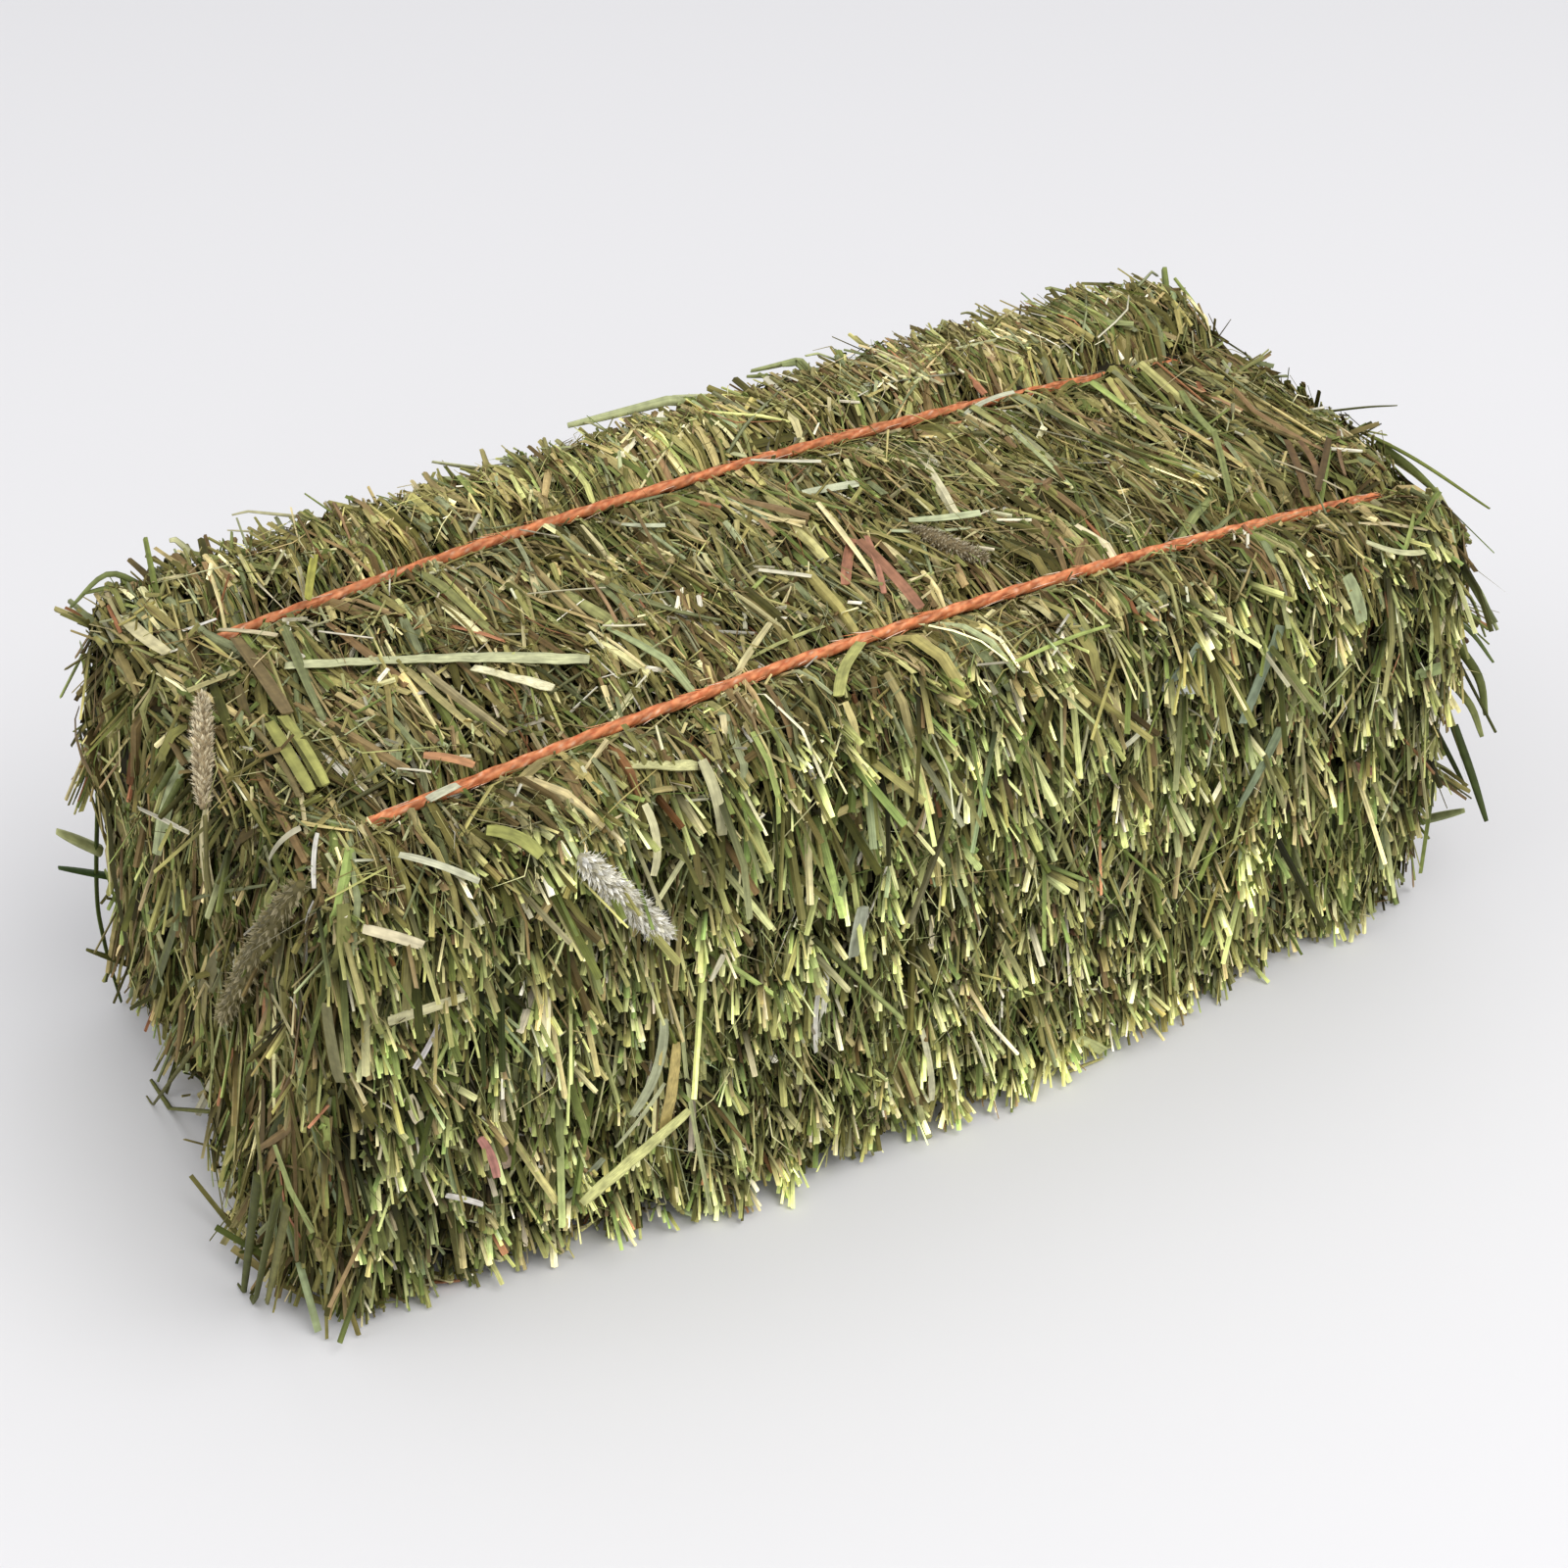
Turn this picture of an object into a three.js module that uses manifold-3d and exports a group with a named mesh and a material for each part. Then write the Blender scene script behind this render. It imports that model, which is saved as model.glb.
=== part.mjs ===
// A small square bale of meadow hay, pressed in flakes and bound with two turns of poly twine.
// Millimetres, +Z up. The bale lies on Z = 0 with its length along X, and the origin is under its middle.

import * as THREE from "three";
import { mergeVertices } from "three/addons/utils/BufferGeometryUtils.js";
import Module from "manifold-3d";

const wasm = await Module();
wasm.setup();

// Driving dimensions of the bale
const baleLength = 305;
const baleWidth = 137;
const baleHeight = 122;
const flakeCount = 16;
const clearance = 0.3;

// How far the longest stems reach from the origin, along X and along Y
const reachX = 174;
const reachY = 83;

// Form of the pressed block
const crown = 5; // the top is this much lower at its two ends
const frontBelly = 9; // the cut side swells near the floor
const backBelly = 6;
const bellyZ = 20;
const bellySpread = 30;
const edgeRadius = 15;
const footRadius = 7;
const flakeInset = 2.4; // each flake is this much smaller at its two faces than in its middle
const lumpSize = 1;
const shingles = 5; // combed-down rows of cut stems on the long sides
const shingleOut = 3.2;
const shingleStep = 3;

// Twine
const twineDiameter = 3.2;
const twineY = 40.5; // from the middle of the bale
const twineSunk = 1.2; // centre of the twine below the top, at mid length
const twineBite = 3.4; // and how much deeper it bites towards the ends
const twineFloor = 2.3; // centre of the twine above the floor, in its groove
const twineEndX = 150.6;
const twineCorner = 15;
const knotZ = 84;
const knotLength = 11;
const knotRadius = 3.7;
const tailLength = 19;
const slotFootZ = 38; // below this the splayed stems hang over the twine
const twineSlot = {
  width: twineDiameter + 2 * clearance,
  lowZ: slotFootZ,
  highZ: baleHeight,
  startX: twineEndX,
};
const knotSlot = { width: 2 * knotRadius + 1, lowZ: 76, highZ: 92, startX: 148 };
const tailPocket = { width: 18, lowZ: knotZ - tailLength - 2, highZ: 88, startX: 152.7 };

// End faces
const endInsets = [0, 7];
const endDepths = [10, 0];
const endDome = 2; // the middle of an end stands out this much
const domeShare = 0.6;
const leftFlare = 17; // the stems of the left end splay out this far at the floor
const rightFlare = 11;
const flareHeight = 62;

const halfLength = baleLength / 2;
const halfWidth = baleWidth / 2;
const flakePitch = baleLength / flakeCount;
const middleZ = baleHeight / 2;
const twineRadius = twineDiameter / 2;

const hayColours = [0xa59a62, 0x98935f, 0xafa268, 0x8f8c5c, 0xb0a774, 0x9b925a];
const twineColour = 0xe07a55;
const headColour = 0xb5ab8a;
const bladeColour = 0xcfc793;

// A repeatable stream of numbers from 0 to 1.
function randomFrom(seed) {
  let state = seed;
  return () => {
    state = (state + 0x6d2b79f5) | 0;
    let t = Math.imul(state ^ (state >>> 15), 1 | state);
    t = (t + Math.imul(t ^ (t >>> 7), 61 | t)) ^ t;
    return ((t ^ (t >>> 14)) >>> 0) / 4294967296;
  };
}

const between = (random, low, high) => low + (high - low) * random();
const clamp = THREE.MathUtils.clamp;

// Solids and geometry

function solidOf(geometry) {
  const bare = geometry.clone();
  bare.deleteAttribute("normal");
  bare.deleteAttribute("uv");
  const merged = mergeVertices(bare, 1e-4);
  const mesh = new wasm.Mesh({
    numProp: 3,
    vertProperties: new Float32Array(merged.attributes.position.array),
    triVerts: new Uint32Array(merged.index.array),
  });
  return new wasm.Manifold(mesh);
}

function geometryOf(solid) {
  const mesh = solid.getMesh();
  const geometry = new THREE.BufferGeometry();
  geometry.setAttribute("position", new THREE.BufferAttribute(mesh.vertProperties, 3));
  geometry.setIndex(new THREE.BufferAttribute(mesh.triVerts, 1));
  geometry.computeVertexNormals();
  return geometry;
}

// The largest body of a solid, without the offcuts that a groove leaves of a tuft.
function mainBody(solid) {
  return solid.decompose().reduce((a, b) => (a.volume() > b.volume() ? a : b));
}

// Joins rings of points into a closed surface. Each ring runs anticlockwise, seen against the way they go.
function skin(rings, startCap, endCap) {
  const count = rings[0].length;
  const index = [];
  for (let i = 0; i + 1 < rings.length; i++) {
    for (let j = 0; j < count; j++) {
      const a = i * count + j;
      const b = i * count + ((j + 1) % count);
      index.push(a, b, b + count, a, b + count, a + count);
    }
  }
  const last = (rings.length - 1) * count;
  for (const [a, b, c] of startCap) index.push(a, c, b);
  for (const [a, b, c] of endCap) index.push(last + a, last + b, last + c);
  const geometry = new THREE.BufferGeometry().setFromPoints(rings.flat());
  geometry.setIndex(index);
  return geometry;
}

// A rod of elliptical section along a curve: sizeAt(t) gives its half width and half thickness.
// The width lies square to `up`.
function rod(curve, steps, sides, sizeAt, up) {
  const rings = [];
  for (let i = 0; i <= steps; i++) {
    const t = i / steps;
    const centre = curve.getPoint(t);
    const along = curve.getTangent(t);
    const across = new THREE.Vector3().crossVectors(up, along).normalize();
    const outward = new THREE.Vector3().crossVectors(along, across);
    const [width, thickness] = sizeAt(t);
    rings.push(
      Array.from({ length: sides }, (_, j) => {
        const angle = (2 * Math.PI * j) / sides;
        return centre
          .clone()
          .addScaledVector(across, width * Math.cos(angle))
          .addScaledVector(outward, thickness * Math.sin(angle));
      }),
    );
  }
  const fan = Array.from({ length: sides - 2 }, (_, j) => [0, j + 1, j + 2]);
  return skin(rings, fan, fan);
}

function curveThrough(points) {
  return new THREE.CatmullRomCurve3(points.map((p) => new THREE.Vector3(...p)));
}

// Form of the block

function topAt(x) {
  return baleHeight - crown * (x / halfLength) ** 2;
}

function sideAt(x, z, belly) {
  const fullness = 1 - (x / halfLength) ** 2;
  return halfWidth + belly * fullness * Math.exp(-(((z - bellyZ) / bellySpread) ** 2));
}

function twineTopAt(x) {
  return topAt(x) - twineSunk - twineBite * (x / halfLength) ** 2;
}

// Half width and depth of the valley that a twine presses into the top or the foot
const topValleyAt = (x) => topAt(x) - twineTopAt(x) + 3;
const footValley = { half: 5.4, depth: 5.2 };

// A long side from the foot up, as [y, z] points: rows of stems combed down over each other.
function shingledSide(way, sideOf, lump) {
  const top = baleHeight - edgeRadius;
  const points = [];
  for (let k = 0; k < shingles; k++) {
    const tipZ = footRadius + 1 + (k / shingles) * (top - footRadius) + lump() * 2;
    const tipY = sideOf(tipZ) + shingleOut * (0.6 + 0.4 * lump());
    points.push([way * (sideOf(tipZ) - 0.3), tipZ - shingleStep], [way * tipY, tipZ]);
  }
  points[0][1] = footRadius;
  return points;
}

// Outline of the block at x as [y, z] points, anticlockwise as seen from +X, with a valley at each twine.
function outlineAt(x, lump) {
  const top = topAt(x);
  const front = (z) => sideAt(x, z, frontBelly);
  const back = (z) => sideAt(x, z, backBelly);
  const depth = topValleyAt(x);
  const half = 3 + 0.5 * depth;
  const foot = (y) => [
    [y - footValley.half, 0],
    [y, footValley.depth],
    [y + footValley.half, 0],
  ];
  const valley = (y) => [
    [y + half, top + 0.5 * lump()],
    [y, top - depth],
    [y - half, top + 0.5 * lump()],
  ];
  const shoulder = (way, sideOf) => [
    [way * (sideOf(top) + 0.5), top - edgeRadius + 4],
    [way * (sideOf(top) - 0.4 * edgeRadius), top - 0.28 * edgeRadius],
    [way * (sideOf(top) - edgeRadius), top + 0.6 * lump()],
  ];
  return [
    [-front(0) + footRadius, 0],
    ...foot(-twineY),
    ...foot(twineY),
    [back(0) - footRadius, 0],
    ...shingledSide(1, back, lump),
    ...shoulder(1, back),
    ...valley(twineY),
    [14, top + 1 + lump()],
    [-14, top + 1 + lump()],
    ...valley(-twineY),
    ...shoulder(-1, front).reverse(),
    ...shingledSide(-1, front, lump).reverse(),
  ];
}

// The outline drawn in by `inset` at its sides and top, with its foot left on the floor.
function insetOutline(outline, inset) {
  return outline.map(([y, z]) => [
    y - Math.sign(y) * inset * Math.abs(y / halfWidth) ** 3,
    z - inset * clamp(z / baleHeight, 0, 1) ** 3,
  ]);
}

function capOf(outline) {
  const flat = outline.map(([y, z]) => new THREE.Vector2(y, z));
  const faces = THREE.ShapeUtils.triangulateShape(flat, []);
  return faces.map(([a, b, c]) => {
    const turn = flat[b].clone().sub(flat[a]).cross(flat[c].clone().sub(flat[a]));
    return turn > 0 ? [a, b, c] : [a, c, b];
  });
}

// Where a flake begins and ends along X, with its tufts. The end flakes reach out to their longest stems.
function flakeLimits(number) {
  const low = -halfLength + number * flakePitch;
  const isLeft = number === 0;
  const isRight = number === flakeCount - 1;
  return [isLeft ? -reachX : low + clearance / 2, isRight ? reachX : low + flakePitch - clearance / 2];
}

// How far the low stems of an end stand out at y, z.
function flareAt(flare, y, z) {
  const low = clamp(1 - z / flareHeight, 0, 1);
  const acrossEnd = 0.45 + 0.55 * Math.exp(-(((y + 34) / 30) ** 2));
  return flare * acrossEnd * low ** 1.6;
}

// One flake: a slab of the block, fuller in its middle. An end flake is domed and splays at the floor.
function flakeBlock(number, random) {
  const low = -halfLength + number * flakePitch;
  const high = low + flakePitch;
  const swell = between(random, -1, 1);
  const lump = () => swell + between(random, -lumpSize, lumpSize);
  const isLeft = number === 0;
  const isRight = number === flakeCount - 1;
  const middle = (low + high) / 2;
  const outline = outlineAt(middle, lump);
  const ring = (x, points) => points.map(([y, z]) => new THREE.Vector3(x, y, z));
  if (!isLeft && !isRight) {
    const lowFace = insetOutline(outlineAt(low, lump), flakeInset);
    const highFace = insetOutline(outlineAt(high, lump), flakeInset);
    const rings = [
      ring(low + clearance / 2, lowFace),
      ring(middle, outline),
      ring(high - clearance / 2, highFace),
    ];
    return skin(rings, capOf(lowFace), capOf(highFace));
  }
  const side = isLeft ? -1 : 1;
  const flare = isLeft ? leftFlare : rightFlare;
  const endRing = (depth, inset, share) =>
    insetOutline(outline, inset).map(
      ([y, z]) => new THREE.Vector3(side * (halfLength - depth + share * flareAt(flare, y, z)), y, z),
    );
  const innerX = side * (halfLength - flakePitch + clearance / 2);
  const rings = [ring(innerX, insetOutline(outline, flakeInset))];
  endDepths.forEach((depth, i) => rings.push(endRing(depth, endInsets[i], i / (endDepths.length - 1))));
  const domeRing = outline.map(([y, z]) => {
    const [domeY, domeZ] = [y * domeShare, middleZ + (z - middleZ) * domeShare];
    return new THREE.Vector3(side * (halfLength + endDome + flareAt(flare, domeY, domeZ)), domeY, domeZ);
  });
  rings.push(domeRing);
  if (isLeft) rings.reverse();
  return skin(rings, capOf(outline), capOf(outline));
}

// Tufts: flat three-sided locks of stems that taper from their root to their tip

function tuft(root, tip, half, flatWay) {
  const start = new THREE.Vector3(...root);
  const along = new THREE.Vector3(...tip).sub(start);
  const length = along.length();
  along.normalize();
  const across = new THREE.Vector3().crossVectors(along, new THREE.Vector3(...flatWay)).normalize();
  const outward = new THREE.Vector3().crossVectors(across, along);
  const cone = new THREE.ConeGeometry(1, 1, 3, 1);
  cone.rotateY(Math.PI / 6).translate(0, 0.5, 0).scale(half, length, 0.6 * half);
  return cone.applyMatrix4(new THREE.Matrix4().makeBasis(across, along, outward).setPosition(start));
}

function sideTuft(random, x, way, belly) {
  const z = between(random, 34, 112);
  const drop = Math.min(between(random, 16, 28), z - 5);
  const root = [x, way * (sideAt(x, z, belly) - 3), z];
  const tipY = sideAt(x, z - drop, belly) + between(random, 4, 7);
  const tip = [x + between(random, -4, 4), way * tipY, z - drop];
  return tuft(root, tip, between(random, 2.8, 4.4), [0, way, 0]);
}

function topTuft(random, x) {
  const y = between(random, -30, 34);
  const run = between(random, 20, 30) * (random() < 0.6 ? -1 : 1);
  const tip = [x + between(random, -4, 4), y + run, topAt(x) + between(random, 3, 5)];
  return tuft([x, y, topAt(x) - 2.5], tip, between(random, 2.8, 4.2), [0, 0, 1]);
}

function endTuft(random, side) {
  const flare = side < 0 ? leftFlare : rightFlare;
  const y = between(random, -56, 56);
  const z = between(random, 56, 112);
  const drop = between(random, 28, 44);
  const faceAt = (height) => side * (halfLength + flareAt(flare, y, height));
  const tip = [faceAt(z - drop) + side * between(random, 7, 10), y + between(random, -6, 6), z - drop];
  return tuft([faceAt(z) - side * 2, y, z], tip, between(random, 4, 6), [side, 0, 0]);
}

// Long stems that stand out of the block: root, tip and half width
const strays = [
  { root: [-146, -30, 34], tip: [-reachX, -26, 1], half: 3.4 },
  { root: [-146, -46, 30], tip: [-172, -50, 1], half: 3.4 },
  { root: [-146, 26, 36], tip: [-165, 30, 1], half: 3 },
  { root: [-148, 60, 60], tip: [-163, 66, 3], half: 2 },
  { root: [-149, 62, 92], tip: [-166, 68, 58], half: 1.8 },
  { root: [-147, 58, 106], tip: [-158, 76, 115], half: 1.6 },
  { root: [-147, -58, 40], tip: [-163, -66, 8], half: 2.4 },
  { root: [146, -60, 44], tip: [165, -70, 32], half: 2 },
  { root: [146, -56, 92], tip: [161, -70, 84], half: 2 },
  { root: [146, -18, 30], tip: [reachX, -14, 1], half: 3.2 },
  { root: [146, 34, 34], tip: [170, 40, 1], half: 3 },
  { root: [144, -14, 110], tip: [161, -20, 121], half: 1.7 },
  { root: [143, 24, 110], tip: [162, 26, 120], half: 1.7 },
  { root: [141, 58, 108], tip: [152, 66, 125], half: 2 },
  { root: [147, 60, 100], tip: [165, 66, 100], half: 1.7 },
  { root: [21, -70, 30], tip: [24, -reachY, 8], half: 2.6 },
  { root: [-21, -70, 34], tip: [-17, -82, 10], half: 2.6 },
  { root: [-78, -68, 30], tip: [-80, -78, 9], half: 2.4 },
  { root: [62, -68, 28], tip: [60, -80, 9], half: 2.4 },
  { root: [12, 68, 34], tip: [8, reachY, 9], half: 2.6 },
  { root: [-62, 66, 34], tip: [-60, 79, 8], half: 2.4 },
  { root: [82, 66, 36], tip: [84, 78, 9], half: 2.4 },
  { root: [-60, 50, 118], tip: [-62, 74, 122], half: 1.7 },
  { root: [-96, 52, 117], tip: [-97, 76, 119], half: 1.7 },
  { root: [36, 50, 119], tip: [38, 73, 124], half: 1.7 },
  { root: [98, 50, 117], tip: [97, 74, 121], half: 1.7 },
];

// Loose pieces that lie half bedded in the hay

// Each stem or blade: centre line, half width and half thickness, and the way its flat side faces
const loosePieces = [
  {
    name: "long_blade",
    points: [[-126, 15, 119.6], [-92, -5, 121.9], [-69, -20, 122.6]],
    half: [1.8, 0.6],
    up: [0, 0, 1],
  },
  { name: "side_blade", points: [[-92, -9, 121.6], [-81, -26, 122.6]], half: [1.5, 0.55], up: [0, 0, 1] },
  { name: "bent_blade", points: [[-80, -56, 119.8], [-66, -62.5, 118.6]], half: [1.7, 0.6], up: [0, 0, 1] },
  {
    name: "straw_stem",
    points: [[-45, -71, 100], [-26, -72, 103.5], [-7, -71, 105.5]],
    half: [1.2, 1.2],
    up: [0, 1, 0],
  },
  { name: "front_blade_low", points: [[-104, -76, 23], [-77, -77, 39]], half: [1.5, 0.6], up: [0, 1, 0] },
  { name: "front_blade_high", points: [[-83, -75.5, 33], [-78, -73, 56]], half: [1.4, 0.6], up: [0, 1, 0] },
];

// A seed head and the stub of its stalk grow as one piece
const seedHeads = [
  {
    name: "seed_head_front",
    points: [[-97.6, -71, 112], [-87, -73, 97], [-77.3, -73.5, 83]],
    radius: 3.6,
    up: [0, 1, 0],
  },
  {
    name: "seed_head_top",
    points: [[24, -8, 122], [25, -18, 124], [30, -30, 124]],
    radius: 2.7,
    up: [0, 0, 1],
  },
  {
    name: "seed_head_end",
    points: [[-156.3, -12.5, 110.5], [-151, -0.8, 116.6], [-146, 12.3, 119.2]],
    radius: 2.8,
    up: [1, 0, 0],
  },
];

function looseShape(piece, growth) {
  const size = () => [piece.half[0] + growth, piece.half[1] + growth];
  const sides = piece.half[0] === piece.half[1] ? 6 : 4;
  return rod(curveThrough(piece.points), piece.points.length, sides, size, new THREE.Vector3(...piece.up));
}

// Thin along the first fifth, then a spindle.
function headShape(head, growth) {
  const size = (t) => {
    const spindle = Math.sin(Math.PI * clamp((t - 0.12) / 0.98, 0, 1)) ** 0.55;
    const radius = Math.max(0.28, spindle) * head.radius + growth;
    return [radius, radius];
  };
  return rod(curveThrough(head.points), 6, 6, size, new THREE.Vector3(...head.up));
}

// Twine

// Centre line of a twine from its knot on the right end up, over the top, round the bale and back.
function twineCurve(y) {
  const points = [];
  const topEnd = twineTopAt(twineEndX - twineCorner);
  const arc = (centreX, centreZ, from, radius) => {
    for (let k = 0; k <= 3; k++) {
      const angle = from + (k / 3) * (Math.PI / 2);
      points.push([centreX + radius * Math.cos(angle), y, centreZ + radius * Math.sin(angle)]);
    }
  };
  points.push([twineEndX, y, knotZ], [twineEndX, y, knotZ + 9]);
  arc(twineEndX - twineCorner, topEnd - twineCorner, 0, twineCorner);
  for (let x = 105; x >= -105; x -= 42) points.push([x, y, twineTopAt(x)]);
  arc(-twineEndX + twineCorner, topEnd - twineCorner, Math.PI / 2, twineCorner);
  points.push([-twineEndX, y, 74], [-twineEndX, y, 44]);
  const foot = twineCorner * 0.8;
  arc(-twineEndX + foot, twineFloor + foot, Math.PI, foot);
  for (let x = -99; x <= 99; x += 66) points.push([x, y, twineFloor]);
  arc(twineEndX - foot, twineFloor + foot, 1.5 * Math.PI, foot);
  points.push([twineEndX, y, 44], [twineEndX, y, knotZ]);
  return curveThrough(points);
}

function twineTube(y, growth) {
  const radius = twineRadius + growth;
  return solidOf(rod(twineCurve(y), 32, 6, () => [radius, radius], new THREE.Vector3(0, 1, 0)));
}

// A twine with its knot and the two cut tails that hang from it on the right end.
function tiedTwine(y) {
  const acrossBale = new THREE.Vector3(0, 1, 0);
  const knotX = twineEndX + 1.5;
  const knotLow = new THREE.Vector3(knotX, y, knotZ - knotLength / 2);
  const knotHigh = new THREE.Vector3(knotX, y, knotZ + knotLength / 2);
  const knotSize = (t) => {
    const size = knotRadius * (0.5 + 0.5 * Math.sin(Math.PI * t));
    return [size, 0.85 * size];
  };
  const knot = rod(new THREE.LineCurve3(knotLow, knotHigh), 3, 6, knotSize, acrossBale);
  let solid = twineTube(y, 0).add(solidOf(knot));
  for (const lean of [-1, 1]) {
    const tail = curveThrough([
      [knotX + 1, y + lean, knotZ - 2],
      [knotX + 2.6, y + lean * 5, knotZ - 0.55 * tailLength],
      [knotX + 2.8, y + lean * 6.5, knotZ - tailLength],
    ]);
    const tailSize = () => [0.85 * twineRadius, 0.85 * twineRadius];
    solid = solid.add(solidOf(rod(tail, 2, 5, tailSize, acrossBale)));
  }
  return solid;
}

// An upright slot in an end face, which leaves a twine or its knot open to the air.
function endSlot(side, y, { width, lowZ, highZ, startX }) {
  const depth = reachX - startX;
  const slot = new THREE.BoxGeometry(depth, width, highZ - lowZ);
  slot.translate(side * (startX + depth / 2), y, (lowZ + highZ) / 2);
  return solidOf(slot);
}

// The whole bale

function namedMesh(name, solid, color, roughness) {
  const material = new THREE.MeshStandardMaterial({ color, roughness, metalness: 0, flatShading: true });
  const mesh = new THREE.Mesh(geometryOf(solid), material);
  mesh.name = name;
  return mesh;
}

const bale = new THREE.Group();
bale.name = "hay_bale";

const twines = [
  { name: "twine_front", y: -twineY },
  { name: "twine_back", y: twineY },
];
const cutters = [];
for (const { name, y } of twines) {
  bale.add(namedMesh(name, tiedTwine(y), twineColour, 0.6));
  cutters.push(twineTube(y, clearance));
  cutters.push(endSlot(-1, y, twineSlot), endSlot(1, y, twineSlot));
  cutters.push(endSlot(1, y, knotSlot), endSlot(1, y, tailPocket));
}
for (const piece of loosePieces) {
  bale.add(namedMesh(piece.name, solidOf(looseShape(piece, 0)), bladeColour, 0.7));
  cutters.push(solidOf(looseShape(piece, clearance)));
}
for (const head of seedHeads) {
  bale.add(namedMesh(head.name, solidOf(headShape(head, 0)), headColour, 0.9));
  cutters.push(solidOf(headShape(head, clearance)));
}

function slab(low, high) {
  const box = new THREE.BoxGeometry(high - low, 2 * reachY, baleHeight + 20);
  box.translate((low + high) / 2, 0, (baleHeight + 20) / 2);
  return solidOf(box);
}

for (let number = 0; number < flakeCount; number++) {
  const random = randomFrom(1200 + 37 * number);
  const [low, high] = flakeLimits(number);
  const middle = -halfLength + (number + 0.5) * flakePitch;
  const somewhere = () => middle + between(random, -6, 6);
  let solid = solidOf(flakeBlock(number, random));
  const tufts = [];
  for (let k = 0; k < 3; k++) tufts.push(sideTuft(random, somewhere(), -1, frontBelly));
  for (let k = 0; k < 2; k++) tufts.push(sideTuft(random, somewhere(), 1, backBelly));
  for (let k = 0; k < 2; k++) tufts.push(topTuft(random, somewhere()));
  if (number === 0 || number === flakeCount - 1) {
    for (let k = 0; k < 8; k++) tufts.push(endTuft(random, number === 0 ? -1 : 1));
  }
  for (const { root, tip, half } of strays) {
    const isEnd = Math.abs(root[0]) > halfLength - flakePitch;
    const flatWay = isEnd ? [Math.sign(root[0]), 0, 0.3] : [0, Math.sign(root[1]), 0.3];
    if (root[0] > low && root[0] < high) tufts.push(tuft(root, tip, half, flatWay));
  }
  for (const shape of tufts) solid = solid.add(solidOf(shape));
  solid = solid.intersect(slab(low, high));
  for (const cutter of cutters) solid = solid.subtract(cutter);
  const name = "flake_" + String(number + 1).padStart(2, "0");
  bale.add(namedMesh(name, mainBody(solid), hayColours[number % hayColours.length], 0.95));
}

export default bale;
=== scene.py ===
import bpy
import numpy as np
from mathutils import Matrix, Vector


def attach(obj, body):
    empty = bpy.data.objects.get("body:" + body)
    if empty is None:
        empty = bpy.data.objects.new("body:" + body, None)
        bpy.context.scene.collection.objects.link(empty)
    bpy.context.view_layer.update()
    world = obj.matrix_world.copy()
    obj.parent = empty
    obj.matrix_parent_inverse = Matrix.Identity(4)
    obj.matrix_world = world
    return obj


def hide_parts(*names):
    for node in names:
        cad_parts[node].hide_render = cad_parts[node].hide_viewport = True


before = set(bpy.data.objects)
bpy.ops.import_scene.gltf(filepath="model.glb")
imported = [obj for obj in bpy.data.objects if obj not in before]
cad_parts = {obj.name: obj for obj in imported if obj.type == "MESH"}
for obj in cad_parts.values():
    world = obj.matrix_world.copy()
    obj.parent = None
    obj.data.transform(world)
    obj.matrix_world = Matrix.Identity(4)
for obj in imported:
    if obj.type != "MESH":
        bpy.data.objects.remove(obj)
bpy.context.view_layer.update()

metres = 0.001

bale = {
    "length": 305,
    "width": 137,
    "height": 122,
    "flakes": 16,
    "crown": 5,  # the top is this much lower at its two ends
    "frontBelly": 8,  # the cut side swells near the floor
    "backBelly": 6,
    "bellyX": -5,
    "bellyLength": 80,
    "bellyZ": 20,
    "bellySpread": 30,
    "topRadius": 15,
    "farRadius": 7,  # of the top's edge over the back
    "footRadius": 7,
    "endRadius": 10,
    "endCorner": 8,  # how far the upright edges of the ends are rounded back
    "leftDome": 2,
    "rightDome": -4,
    "rightLap": 12,  # the right end stands out this much more at the back than at its front corner
    "leftFlare": 17,  # the stems of the left end splay out this far at the floor
    "rightFlare": 1.5,
    "flareHeight": 62,
    "flareY": -34,
    "flareWidth": 30,
    "leftSwell": 0.8,
    "rightSwell": 5,
    "swellZ": 66,
    "swellSpread": 24,
    "reach": (173.6, 82.8, 126.5),  # no stem goes further from the origin than this
}
halfLength = bale["length"] / 2
halfWidth = bale["width"] / 2
flakePitch = bale["length"] / bale["flakes"]

twine = {
    "y": 40.5,  # from the middle of the bale
    "radius": 1.45,
    "sunk": 1.2,  # centre of the twine below the top, at mid length
    "bite": 3.4,  # and how much deeper it bites towards the ends
    "floor": 2.3,  # centre of the twine above the floor
    "endX": 150.6,
    "corner": 15,
    "overTop": (105, 63, 21, -21, -63, -105),  # x of its curve's knots on the top
    "downEnd": (74, 44),  # z of those on the left end
    "underFoot": (-99, -33, 33, 99),
    "lay": 24,  # length of one turn of its three strands
    "step": 0.9,
    "knotZ": 84,
    "knotX": 152.1,
    "knot": (2.1, 2.1, 4.0),  # half sizes of the knot, less the twine's radius
    "knotLine": 60,  # length of the twine in the knot
    "tail": ((153.1, 1, 82), (154.7, 5, 73.5), (154.9, 6.3, 68)),  # x, way off the twine's line, z
    "tailRadius": 1.3,
    "frayed": 16,  # loose fibres at the end of a tail
    "fuzz": 260,  # and along one twine
}

# The lens, place and turn that give the bale's corners their places in the picture
camera = {
    "place": (-319.435, -499.796, 478.072),
    "azimuth": -32.165,
    "elevation": 35.709,
    "roll": 1.174,
    "lens": 67.5,
    "sensor": 36,
    "frame": 1600,
}


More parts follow.
